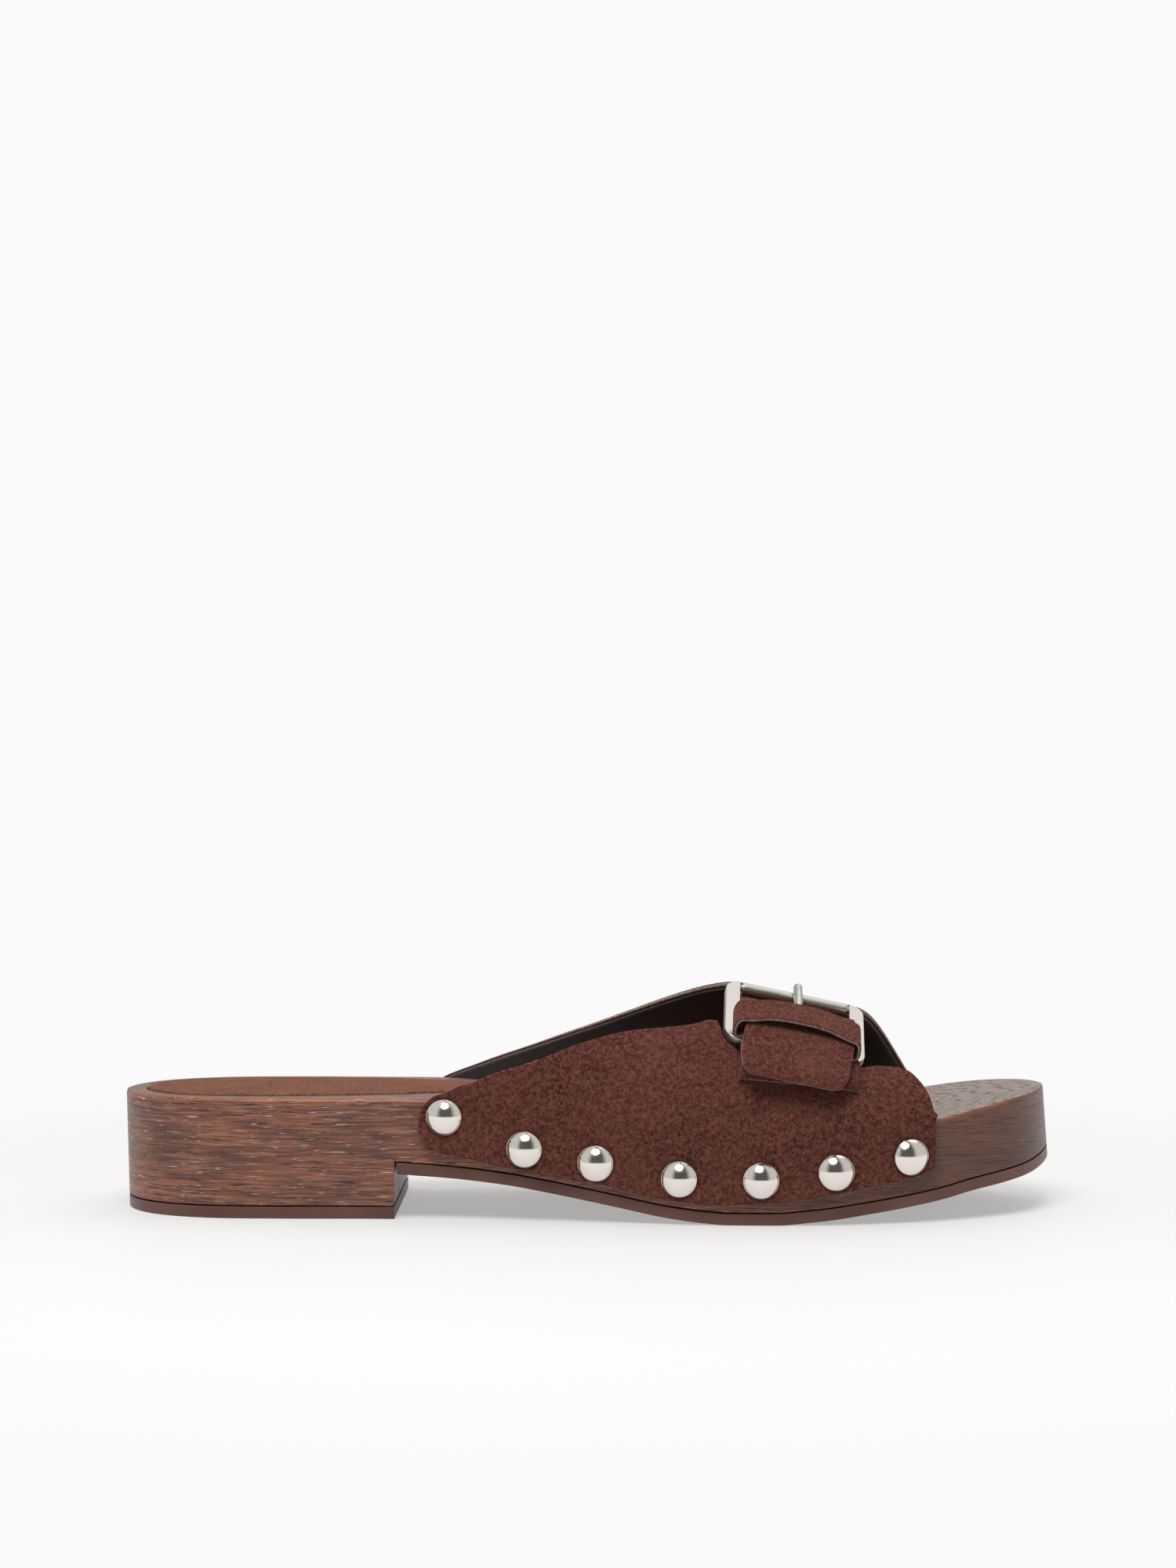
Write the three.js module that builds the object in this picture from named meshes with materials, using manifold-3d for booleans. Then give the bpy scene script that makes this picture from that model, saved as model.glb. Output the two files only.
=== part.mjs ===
// A right-foot wooden clog: one carved wooden sole with its block heel, a rubber heel lift and
// forefoot outsole, a suede heel pad, and two lined suede uppers nailed to the sole and buckled
// over the instep. Millimetres, x from the back of the heel to the toe, y across the foot with
// the outer (lateral) side negative, z up from the ground.

import * as THREE from "three";
import { mergeVertices } from "three/addons/utils/BufferGeometryUtils.js";
import Module from "manifold-3d";

// ---------------------------------------------------------------- driving dimensions

// Stations along the sole are drawn on a pattern of this length and stretch with soleLength.
const patternLength = 250;

// Sole.
const soleLength = 250;
const heelWidth = 62.5;
const ballWidth = 87;
const heelSeatHeight = 31.3;
const ballHeight = 21.8;
const toeHeight = 32.2;
const breastHeight = 11.7;
const toeSpring = 13;
const heelBlockLength = 74.4;
const liftThickness = 3.1;
const outsoleThickness = 3;
const glueLine = 0.3;

// Heel pad.
const padBackMargin = 5.8;
const padLength = 91.2;
const padWidth = 46.6;
const padFoamThickness = 2;
const padCoverThickness = 1.3;
const padProud = 0.5;
const padSideGap = 0.4;

// Uppers: a lining against the foot, a suede skin outside it.
const liningThickness = 0.6;
const suedeThickness = 1.4;
const seatGap = 0.3;
const bondGap = 0.2;
const lateralCrownHeight = 56;
const medialCrownHeight = 58;
const instepFall = 0.21;

// Nails.
const nailHeadRadius = 4.7;
const nailHeadHeight = 3.2;
const nailShankRadius = 1;
const nailShankLength = 10;
const nailPointLength = 1.6;
const nailHoleGap = 0.3;
const nailSeatGap = 0.15;

// Buckle.
const buckleStation = 178.4;
const buckleRise = 20.8;
const rollerInset = 12;
const rollerSink = 1.3;
const buckleTilt = 12;
const buckleTurn = 2.8;
const frameLength = 24.4;
const frameInnerWidth = 29.8;
const frameSideWidth = 3.9;
const frameThickness = 2.2;
const heelBarWidth = 2.6;
const frameCorner = 4.5;
const axleRadius = 0.95;
const rollerRadius = 1.6;
const rollerBore = 1.3;
const rollerEndGap = 0.5;
const prongWireRadius = 1.2;
const prongEyeInner = 1.8;
const prongEyeOuter = 3;
const prongEyeWidth = 2.4;
const prongOffset = 1.2;
const prongOverhang = 2.2;
const runningGap = 0.35;

// Strap, tab and keeper.
const strapWidth = 28.7;
const strapCorner = 4;
const strapTail = 15.5;
const strapShift = 0.25;
const tailDrift = 1.1;
const tailFall = 0.32;
const prongHoleWidth = 3.4;
const prongHoleFrom = 7.4;
const prongHoleToRoller = 8;
const tabWidth = 30.6;
const tabThickness = 1.2;
const foldInset = 1;
const tabOuterLeg = 12.6;
const tabInnerLeg = 12;
const tabSettles = 4;
const panelFoldGap = 1.1;
const keeperWidth = 9.5;
const keeperThickness = 1.1;
const keeperCentre = 1.7;
const keeperShift = 0.8;
const keeperLift = 0.65;
const keeperSlack = 1.35;
const keeperBulge = 1.9;

// ---------------------------------------------------------------- colours of the materials

const woodColour = 0x4a2418;
const rubberColour = 0x3a1713;
const foamColour = 0xd8cdb8;
const padColour = 0x7d4a33;
const suedeColour = 0x5f3129;
const liningColour = 0x201a18;
const nickelColour = 0xd9d5cb;

// ---------------------------------------------------------------- helpers

const wasm = await Module();
wasm.setup();

const LATERAL = -1;
const MEDIAL = 1;

const along = (station) => (station * soleLength) / patternLength;
const vec = (x, y, z) => new THREE.Vector3(x, y, z);
const range = (from, to, count) =>
  Array.from({ length: count + 1 }, (_, i) => from + ((to - from) * i) / count);

// A smooth curve through [x, y] rows that never overshoots between two of them.
function smoothTable(rows) {
  const secant = (i) => (rows[i + 1][1] - rows[i][1]) / (rows[i + 1][0] - rows[i][0]);
  const slopes = rows.map((_, i) => {
    if (i === 0) return secant(0);
    if (i === rows.length - 1) return secant(i - 1);
    const before = secant(i - 1);
    const after = secant(i);
    return before * after > 0 ? (2 * before * after) / (before + after) : 0;
  });
  return (x) => {
    const at = THREE.MathUtils.clamp(x, rows[0][0], rows.at(-1)[0]);
    let i = 0;
    while (i < rows.length - 2 && at > rows[i + 1][0]) i++;
    const span = rows[i + 1][0] - rows[i][0];
    const t = (at - rows[i][0]) / span;
    const start = (1 + 2 * t) * (1 - t) ** 2 * rows[i][1] + t * (1 - t) ** 2 * span * slopes[i];
    const end = t * t * (3 - 2 * t) * rows[i + 1][1] + t * t * (t - 1) * span * slopes[i + 1];
    return start + end;
  };
}

// The closed smooth outline through [x, y] points.
const smoothLoop = (points, count) =>
  new THREE.CatmullRomCurve3(
    points.map(([x, y]) => vec(x, y, 0)), true, "centripetal",
  ).getPoints(count).slice(0, -1);

// A three.js geometry as a manifold-3d solid, and back.
function toSolid(geometry) {
  const flat = geometry.index ? geometry.toNonIndexed() : geometry;
  const bare = new THREE.BufferGeometry().setAttribute("position", flat.getAttribute("position"));
  const merged = mergeVertices(bare, 1e-4);
  return new wasm.Manifold(new wasm.Mesh({
    numProp: 3,
    vertProperties: merged.attributes.position.array,
    triVerts: new Uint32Array(merged.index.array),
  }));
}

function toGeometry(manifold) {
  const mesh = manifold.getMesh();
  const geometry = new THREE.BufferGeometry();
  geometry.setAttribute("position", new THREE.BufferAttribute(mesh.vertProperties, 3));
  geometry.setIndex(new THREE.BufferAttribute(mesh.triVerts, 1));
  const flat = geometry.toNonIndexed();
  flat.computeVertexNormals();
  return flat;
}

function material(color, roughness, metalness = 0) {
  return new THREE.MeshStandardMaterial({ color, roughness, metalness });
}

const clog = new THREE.Group();

function place(parent, name, geometry, finish) {
  const mesh = new THREE.Mesh(geometry, finish);
  mesh.name = name;
  parent.add(mesh);
  return mesh;
}

// A shape standing on its edge: drawn in x and z, as deep as the clog is wide.
function sideProfile(points) {
  const depth = ballWidth * 1.5;
  const shape = new THREE.Shape(points.map(([x, z]) => new THREE.Vector2(x, z)));
  const geometry = new THREE.ExtrudeGeometry(shape, { depth, bevelEnabled: false });
  return geometry.rotateX(Math.PI / 2).translate(0, depth / 2, 0);
}

function prism(points, low, high) {
  const shape = new THREE.Shape(points.map((p) => new THREE.Vector2(p.x, p.y)));
  const geometry = new THREE.ExtrudeGeometry(shape, { depth: high - low, bevelEnabled: false });
  return geometry.translate(0, 0, low);
}

// A closed sheet between two offsets of a grid of points. The rows run so that
// (next row) x (next column) points out of the foot.
function sheet(grid, inner, outer) {
  const rows = grid.length;
  const columns = grid[0].length;
  const at = (i, j) =>
    grid[THREE.MathUtils.clamp(i, 0, rows - 1)][THREE.MathUtils.clamp(j, 0, columns - 1)];
  const positions = [];
  for (const offset of [inner, outer]) {
    for (let i = 0; i < rows; i++) {
      for (let j = 0; j < columns; j++) {
        const down = at(i + 1, j).clone().sub(at(i - 1, j));
        const across = at(i, j + 1).clone().sub(at(i, j - 1));
        const normal = down.cross(across).normalize();
        positions.push(...at(i, j).clone().addScaledVector(normal, offset));
      }
    }
  }
  const id = (layer, i, j) => (layer * rows + i) * columns + j;
  const faces = [];
  const quad = (a, b, c, d) => faces.push(a, b, c, a, c, d);
  for (let i = 0; i < rows - 1; i++) {
    for (let j = 0; j < columns - 1; j++) {
      quad(id(1, i, j), id(1, i + 1, j), id(1, i + 1, j + 1), id(1, i, j + 1));
      quad(id(0, i, j), id(0, i, j + 1), id(0, i + 1, j + 1), id(0, i + 1, j));
    }
    quad(id(0, i, 0), id(0, i + 1, 0), id(1, i + 1, 0), id(1, i, 0));
    const last = columns - 1;
    quad(id(0, i, last), id(1, i, last), id(1, i + 1, last), id(0, i + 1, last));
  }
  for (let j = 0; j < columns - 1; j++) {
    const last = rows - 1;
    quad(id(0, 0, j), id(1, 0, j), id(1, 0, j + 1), id(0, 0, j + 1));
    quad(id(0, last, j), id(0, last, j + 1), id(1, last, j + 1), id(1, last, j));
  }
  const geometry = new THREE.BufferGeometry();
  geometry.setAttribute("position", new THREE.Float32BufferAttribute(positions, 3));
  geometry.setIndex(faces);
  return geometry;
}

// ---------------------------------------------------------------- sole: plan and heights

// Plan outline: station, and how far out as a share of the half width there.
const outlineStations = [
  [0, 0], [2.6, -0.4], [10, -0.72], [24, -0.94], [45, -1.005], [68, -1.012], [90, -0.99],
  [110, -0.965], [135, -0.945], [160, -1], [180, -1.01], [200, -0.965], [217, -0.85],
  [230, -0.7], [240, -0.517], [247, -0.24], [250, 0.09], [247.5, 0.345], [240, 0.55],
  [228, 0.76], [215, 0.89], [200, 0.965], [180, 0.99], [160, 0.94], [140, 0.836],
  [120, 0.776], [100, 0.79], [80, 0.885], [60, 0.973], [45, 0.99], [24, 0.93], [10, 0.714],
  [2.6, 0.4],
];
const heelToBall = (station) =>
  THREE.MathUtils.lerp(heelWidth, ballWidth, THREE.MathUtils.smoothstep(station, 62.5, 150)) / 2;
const outline = smoothLoop(
  outlineStations.map(([station, share]) => [along(station), share * heelToBall(station)]), 96,
);

// How far the edge of the sole lies from the middle line at x.
function edgeAt(x, side) {
  let widest = 0;
  outline.forEach((p, i) => {
    const q = outline[(i + 1) % outline.length];
    if ((p.x - x) * (q.x - x) > 0 || p.x === q.x) return;
    const y = p.y + ((q.y - p.y) * (x - p.x)) / (q.x - p.x);
    widest = Math.max(widest, side * y);
  });
  return widest;
}

function wallNormal(x, side) {
  const slope = (edgeAt(x + 1, side) - edgeAt(x - 1, side)) / 2;
  return vec(-slope, side, 0).normalize();
}

// Heights are shares of the way from the ball of the foot up to the heel or up to the toe.
const topToHeel = smoothTable([
  [0, 1], [82, 1], [97, 0.9], [110, 0.71], [120, 0.56], [131, 0.36], [145, 0.2], [165, 0.02],
  [172, 0],
]);
const topToToe = smoothTable([
  [172, 0], [190, 0.13], [200, 0.27], [215, 0.48], [230, 0.76], [241, 0.92], [250, 1],
]);
const underToHeel = smoothTable([
  [75, 1], [90, 0.92], [104, 0.795], [115, 0.64], [132, 0.36], [144, 0.154], [152, 0.06], [160, 0],
]);
const underToToe = smoothTable([
  [175, 0], [187, 0.09], [197, 0.2], [207.5, 0.32], [217, 0.446], [225, 0.585], [235, 0.71],
  [243, 0.83], [246, 0.9], [250, 1],
]);
const station = (x) => (x * patternLength) / soleLength;
const topEdge = (x) =>
  ballHeight + topToHeel(station(x)) * (heelSeatHeight - ballHeight)
  + topToToe(station(x)) * (toeHeight - ballHeight);
const underside = (x) =>
  underToHeel(station(x)) * breastHeight + underToToe(station(x)) * toeSpring;
const woodUnderside = (x) => underside(x) + outsoleThickness + glueLine;

// ---------------------------------------------------------------- sole: solids

const beyond = 5;
const highest = Math.max(heelSeatHeight, toeHeight) + beyond;
const forefoot = range(heelBlockLength, soleLength + beyond, 44);

const padStations = [
  [0, 0], [0.03, 0.47], [0.123, 0.837], [0.287, 1], [0.507, 0.98], [0.704, 0.87],
  [0.857, 0.67], [0.955, 0.38], [1, 0],
];
function padOutline(grow) {
  const half = padStations.map(([u, v]) => [
    padBackMargin - grow + u * (padLength + 2 * grow), v * (padWidth / 2 + grow),
  ]);
  const mirrored = half.slice(1, -1).reverse().map(([x, y]) => [x, -y]);
  return smoothLoop([...half, ...mirrored], 48).reverse();
}
const padStack = glueLine + padFoamThickness + glueLine + padCoverThickness;
const padFloor = heelSeatHeight + padProud - padStack;

function woodenSole(nails) {
  const side = sideProfile([
    [-beyond, liftThickness + glueLine],
    [heelBlockLength, liftThickness + glueLine],
    ...forefoot.map((x) => [x, woodUnderside(x)]),
    ...range(soleLength + beyond, 0, 60).map((x) => [x, topEdge(x)]),
    [-beyond, topEdge(0)],
  ]);
  const recess = toSolid(prism(padOutline(padSideGap), padFloor, highest));
  let wood = toSolid(prism(outline, 0, highest)).intersect(toSolid(side)).subtract(recess);
  for (const nail of nails) wood = wood.subtract(nailHole(nail, nailShankLength + 1));
  return toGeometry(wood);
}

function forefootOutsole() {
  const front = range(heelBlockLength + glueLine, soleLength + beyond, 44);
  const side = sideProfile([
    ...front.map((x) => [x, underside(x)]),
    ...front.toReversed().map((x) => [x, underside(x) + outsoleThickness]),
  ]);
  return toGeometry(toSolid(prism(outline, -1, highest)).intersect(toSolid(side)));
}

function heelLift() {
  const side = sideProfile([
    [-beyond, 0], [heelBlockLength, 0], [heelBlockLength, liftThickness], [-beyond, liftThickness],
  ]);
  return toGeometry(toSolid(prism(outline, -1, highest)).intersect(toSolid(side)));
}

// ---------------------------------------------------------------- nails

const leatherInner = seatGap;
const suedeInner = seatGap + liningThickness + bondGap;
const leatherOuter = suedeInner + suedeThickness;

// Station and depth below the top edge of the wood.
const lateralNails = [
  [87.8, 4.1], [108.8, 9.7], [127.2, 10.1], [148.7, 11.3], [169.4, 10], [188.5, 9.1], [207.6, 8.2],
];
const medialNails = [
  [88.5, 4.3], [109, 9.6], [130, 10.4], [151, 11.2], [172, 10], [192, 9.2], [212, 8.2],
];

function nailSpots(side, rows) {
  return rows.map(([at, depth]) => {
    const x = along(at);
    const wall = vec(x, side * edgeAt(x, side), topEdge(x) - depth);
    return { side, wall, outward: wallNormal(x, side) };
  });
}
const nails = [...nailSpots(LATERAL, lateralNails), ...nailSpots(MEDIAL, medialNails)];

function turnTo(geometry, direction, origin) {
  const turn = new THREE.Quaternion().setFromUnitVectors(vec(0, 1, 0), direction);
  return geometry.applyQuaternion(turn).translate(origin.x, origin.y, origin.z);
}

function nailHole(nail, depth) {
  const reach = depth + leatherOuter + 1;
  const bore = new THREE.CylinderGeometry(
    nailShankRadius + nailHoleGap, nailShankRadius + nailHoleGap, reach, 10,
  ).translate(0, reach / 2 - depth, 0);
  return toSolid(turnTo(bore, nail.outward, nail.wall));
}

function nailGeometry() {
  const ball = (nailHeadRadius ** 2 + nailHeadHeight ** 2) / (2 * nailHeadHeight);
  const sweep = Math.asin(nailHeadRadius / ball);
  const dome = range(sweep, 0, 4).map(
    (a) => new THREE.Vector2(ball * Math.sin(a), ball * Math.cos(a) - ball + nailHeadHeight),
  );
  dome[dome.length - 1].x = 0;
  const profile = [
    new THREE.Vector2(0, -nailShankLength),
    new THREE.Vector2(nailShankRadius, nailPointLength - nailShankLength),
    new THREE.Vector2(nailShankRadius, 0),
    ...dome,
  ];
  return new THREE.LatheGeometry(profile, 12);
}

// ---------------------------------------------------------------- uppers: surface over the foot

// A point of the surface that the leather follows: the wall of the sole, then a quarter of an
// ellipse from the edge of the wood up to the instep.
const crownAt = (x, crown) => crown - instepFall * (x - along(165));
function archPoint(x, z, side, crown) {
  const rise = Math.max(0, z - topEdge(x)) / (crownAt(x, crown) - topEdge(x));
  return vec(x, side * edgeAt(x, side) * Math.sqrt(Math.max(0, 1 - rise * rise)), z);
}

// Lower edge of both uppers: height above the lower edge of the wood.
const lowerMargin = smoothTable([
  [81, 9.4], [81.4, 7.4], [82.2, 5.8], [83.8, 4.1], [87.5, 3.2], [95, 2.4], [104, 1.5],
  [115, 1.3], [128, 2], [142, 1.6], [152, 1.8], [167, 2.4], [183, 3.2], [198, 4], [207, 4.4],
  [212, 5], [214, 6.2],
]);
const lowerEdge = (x) => woodUnderside(x) + lowerMargin(station(x));

// ---------------------------------------------------------------- buckle frame of reference

// The heel bar of the buckle lies in the top edge of the lateral upper, half way through it. From
// there the frame runs up to its roller, which sits on the instep.
const tilt = THREE.MathUtils.degToRad(buckleTilt);
const turn = THREE.MathUtils.degToRad(buckleTurn);
const across = vec(
  Math.cos(tilt) * Math.cos(turn), Math.sin(turn), -Math.sin(tilt) * Math.cos(turn),
);
const barX = along(buckleStation);
const barBase = archPoint(barX, topEdge(barX) + buckleRise, LATERAL, lateralCrownHeight);
const rollerAim = vec(
  barX, -rollerInset, crownAt(barX, medialCrownHeight) + leatherOuter - rollerSink,
);
const towards = rollerAim.clone().sub(barBase);
const firstUp = towards.addScaledVector(across, -towards.dot(across)).normalize();
const firstOut = across.clone().cross(firstUp);
const heelBar = barBase.clone().addScaledVector(firstOut, leatherOuter / 2);
const aim = rollerAim.clone().sub(heelBar);
const up = aim.addScaledVector(across, -aim.dot(across)).normalize();
const out = across.clone().cross(up);

const toWorld = (a, b, n) =>
  heelBar.clone().addScaledVector(across, a).addScaledVector(up, b).addScaledVector(out, n);
const toLocal = (p) => {
  const from = p.clone().sub(heelBar);
  return [from.dot(across), from.dot(up), from.dot(out)];
};

// The lateral surface below the heel bar in the buckle's frame: n at any a and b.
const panelReach = 18;
const panelTables = range(-panelReach, panelReach, 6).map((a) => {
  const level = toWorld(a, 0, 0);
  return smoothTable(range(level.z - panelReach, level.z + 2, 12).map((z) =>
    toLocal(archPoint(level.x, z, LATERAL, lateralCrownHeight)).slice(1)));
});
function panelAt(a, b) {
  const t = ((a + panelReach) / (2 * panelReach)) * (panelTables.length - 1);
  const i = Math.min(Math.floor(t), panelTables.length - 2);
  return THREE.MathUtils.lerp(panelTables[i](b), panelTables[i + 1](b), t - i);
}
// The same, a distance off the surface.
function offPanel(a, b, distance) {
  const slope = panelAt(a, b + 0.5) - panelAt(a, b - 0.5);
  return panelAt(a, b) + distance * Math.hypot(1, slope);
}
const highestOffPanel = (b, distance) =>
  Math.max(...range(-tabWidth / 2, tabWidth / 2, 4).map((a) => offPanel(a, b, distance)));

// The strap passes over the prong's eye and the keeper's lower run.
const tabTop = highestOffPanel(
  keeperCentre - keeperWidth / 2, leatherOuter + runningGap + tabThickness,
);
const keeperFloor = Math.max(prongEyeOuter, tabTop) + keeperLift;
const strapOver = keeperFloor + keeperThickness + runningGap - seatGap;
const tailFrom = keeperCentre - keeperWidth / 2 - 0.3;
const tailBase = (b) => strapOver + 0.05 + tailFall * (b - tailFrom);

// ---------------------------------------------------------------- lateral upper

// Top edge: height above the wood. It dips under the buckle between the two corners of the frame.
const frameHalf = frameInnerWidth / 2 + frameSideWidth;
const dipAt = (a) => {
  const b = -panelFoldGap - leatherOuter;
  return toWorld(a, b, panelAt(a, b));
};
const dip = dipAt(0);
const [dipRear, dipFront] = [dipAt(-tabWidth / 2), dipAt(tabWidth / 2)];
const dipEdge = (x) =>
  dipRear.z + ((dipFront.z - dipRear.z) * (x - dipRear.x)) / (dipFront.x - dipRear.x);
const dipHalf = Math.cos(tilt) * (frameHalf + 0.6);
const dipFrom = dip.x - dipHalf;
const dipTo = dip.x + dipHalf;
const lateralRear = smoothTable([
  [81, -6.6], [81.4, -3.4], [82.2, -1.4], [83.8, 0.2], [84.8, 1], [87.5, 2], [91.6, 4.1],
  [96, 5.7], [100.5, 7.9], [107.8, 11.1], [116.3, 15.1], [120.4, 17.3], [131.3, 22],
  [136.8, 23.5], [145, 24.8], [152.7, 26.2], [156, 27.3],
]);
const lateralFront = smoothTable([
  [196, 14.6], [202, 13.6], [207.5, 11.8], [210, 9.6], [212.5, 5.8], [213.7, 1.5], [214, -6],
]);
function lateralTop(x) {
  if (x < dipFrom) return topEdge(x) + lateralRear(station(x));
  if (x > dipTo) return topEdge(x) + lateralFront(station(x));
  return dipEdge(x);
}

function lateralGrid() {
  const columns = [
    ...[81, 81.4, 82.2, 83.8, 87.5, 92, 98, 104, 110, 117, 124, 131, 138, 145, 151].map(along),
    dipFrom - 2.4, dipFrom - 0.8, dipFrom + 0.1,
    ...range(dipFrom + 4, dipTo - 4, 4),
    dipTo - 0.1, dipTo + 0.8,
    ...[202, 206, 209, 211.5, 213, 214].map(along),
  ];
  return columns.map((x) =>
    range(lowerEdge(x), lateralTop(x), 9).map((z) => archPoint(x, z, LATERAL, lateralCrownHeight)));
}

// ---------------------------------------------------------------- medial upper and its strap

// From the lower edge up the wall, over the instep, and on as the strap.
const medialRearWall = smoothTable([[0, 88], [0.12, 84.4], [0.3, 82.2], [0.6, 81.4], [1, 84]]);
const medialColumns = 15;

function wallRow(t) {
  const rear = along(medialRearWall(t));
  const front = along(THREE.MathUtils.lerp(213.5, 218, t));
  return range(rear, front, medialColumns - 1).map((x) =>
    vec(x, edgeAt(x, MEDIAL), THREE.MathUtils.lerp(lowerEdge(x), topEdge(x), t)));
}

const strapHalfAlongX = (strapWidth / 2) * Math.cos(tilt);
function archRow(angle) {
  const left = 1 - angle / 90;
  const middle = along(179.5);
  const rear = middle - strapHalfAlongX - along(81) * left ** 1.9;
  const front = middle + strapHalfAlongX + along(24.5) * left ** 0.9;
  const turn = THREE.MathUtils.degToRad(angle);
  return range(rear, front, medialColumns - 1).map((x) => {
    const height = (crownAt(x, medialCrownHeight) - topEdge(x)) * Math.sin(turn);
    return vec(x, edgeAt(x, MEDIAL) * Math.cos(turn), topEdge(x) + height);
  });
}

// The strap in the buckle's frame: from the instep under the roller, up through the frame, over
// the heel bar, and down to its tail, which lies on the tab.
const tailDroop = 1.3;
function strapPath() {
  const crown = toLocal(vec(along(179.5), 0, crownAt(along(179.5), medialCrownHeight)));
  const under = -(rollerRadius + runningGap + leatherOuter);
  const over = strapOver;
  const [, crownB, crownN] = crown;
  const drop = under - crownN;
  const stretch = crownB - frameLength;
  return [
    [crownB - 0.3 * stretch, crownN + 0.68 * drop],
    [crownB - 0.64 * stretch, crownN + 0.95 * drop],
    [frameLength, under],
    [0.83 * frameLength, THREE.MathUtils.lerp(under, over, 0.15)],
    [0.7 * frameLength, THREE.MathUtils.lerp(under, over, 0.32)],
    [0.57 * frameLength, THREE.MathUtils.lerp(under, over, 0.5)],
    [0.45 * frameLength, THREE.MathUtils.lerp(under, over, 0.73)],
    [0.33 * frameLength, over - 0.5],
    [keeperCentre + keeperWidth / 2 + 0.2, over],
    [0, over],
    [tailFrom, tailBase(tailFrom)],
    [-5, tailBase(-5)],
    [-8.5, tailBase(-8.5)],
    [-strapTail + strapCorner, tailBase(-strapTail + strapCorner)],
    [-strapTail + 2.3, tailBase(-strapTail + 2.3)],
    [-strapTail + 1, tailBase(-strapTail + 1) - 0.45 * tailDroop],
    [-strapTail, tailBase(-strapTail) - tailDroop],
  ];
}

function strapRow([b, n]) {
  const left = Math.max(0, strapCorner - (b + strapTail));
  const half = strapWidth / 2 - strapCorner + Math.sqrt(strapCorner ** 2 - left ** 2);
  const shift = strapShift + tailDrift * THREE.MathUtils.clamp(-b / strapTail, 0, 1);
  return range(-half, half, medialColumns - 1).map((a) => toWorld(a + shift, b, n));
}

function medialGrid() {
  return [
    ...[0, 0.12, 0.3, 0.6].map(wallRow),
    ...range(0, 90, 9).map(archRow),
    ...strapPath().map(strapRow),
  ];
}

function prongHole() {
  const half = prongHoleWidth / 2;
  const shape = new THREE.Shape();
  shape.absarc(prongOffset, frameLength - prongHoleToRoller - half, half, 0, Math.PI);
  shape.absarc(prongOffset, prongHoleFrom + half, half, Math.PI, 2 * Math.PI);
  const depth = 16;
  return new THREE.ExtrudeGeometry(shape, { depth, bevelEnabled: false, curveSegments: 5 })
    .translate(0, 0, -depth / 2);
}

// Turns a geometry made in the buckle's frame into the clog's.
const buckleMatrix = new THREE.Matrix4().makeBasis(across, up, out).setPosition(heelBar);

function leather(grid, inner, outer, side) {
  let piece = toSolid(sheet(grid, inner, outer));
  for (const nail of nails.filter((one) => one.side === side)) {
    piece = piece.subtract(nailHole(nail, 1));
  }
  if (side === MEDIAL) piece = piece.subtract(toSolid(prongHole().applyMatrix4(buckleMatrix)));
  return toGeometry(piece);
}

// ---------------------------------------------------------------- buckle pieces, in its frame

function roundedBox(halfA, lowB, highB, radius) {
  const shape = new THREE.Shape();
  shape.moveTo(-halfA + radius, lowB);
  shape.lineTo(halfA - radius, lowB);
  shape.absarc(halfA - radius, lowB + radius, radius, -Math.PI / 2, 0);
  shape.lineTo(halfA, highB - radius);
  shape.absarc(halfA - radius, highB - radius, radius, 0, Math.PI / 2);
  shape.lineTo(-halfA + radius, highB);
  shape.absarc(-halfA + radius, highB - radius, radius, Math.PI / 2, Math.PI);
  shape.lineTo(-halfA, lowB + radius);
  shape.absarc(-halfA + radius, lowB + radius, radius, Math.PI, 1.5 * Math.PI);
  return shape;
}

// Frame: heel bar and two side bars in one bent piece, and the thin axle that the roller turns on.
function buckleFrame() {
  const bevel = 0.45;
  const half = frameInnerWidth / 2;
  const end = frameLength + axleRadius + 0.7;
  const shape = roundedBox(frameHalf - bevel, -heelBarWidth / 2 + bevel, end - bevel, frameCorner - 1);
  const window = roundedBox(half, heelBarWidth / 2, end + 8, 0.6);
  const inside = new THREE.Path(window.getPoints(4).map((p) => new THREE.Vector2(p.x, p.y)));
  const flat = {
    depth: frameThickness - 2 * bevel, bevelThickness: bevel, bevelSize: bevel, bevelSegments: 2,
    curveSegments: 4,
  };
  const plate = toSolid(new THREE.ExtrudeGeometry(shape, flat).translate(0, 0, -flat.depth / 2));
  const hollow = toSolid(new THREE.ExtrudeGeometry(
    new THREE.Shape(inside.getPoints()), { depth: 8, bevelEnabled: false },
  ).translate(0, 0, -4));
  const axle = new THREE.CylinderGeometry(axleRadius, axleRadius, 2 * half + frameSideWidth, 12)
    .rotateZ(Math.PI / 2).translate(0, frameLength, 0);
  return toGeometry(plate.subtract(hollow).add(toSolid(axle)));
}

function buckleRoller() {
  const half = frameInnerWidth / 2 - rollerEndGap;
  const round = 0.25;
  const profile = [
    [rollerBore, -half], [rollerRadius - round, -half], [rollerRadius, -half + round],
    [rollerRadius, half - round], [rollerRadius - round, half], [rollerBore, half],
    [rollerBore, -half],
  ].map(([r, a]) => new THREE.Vector2(r, a));
  return new THREE.LatheGeometry(profile, 18).rotateZ(Math.PI / 2).translate(0, frameLength, 0);
}

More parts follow.
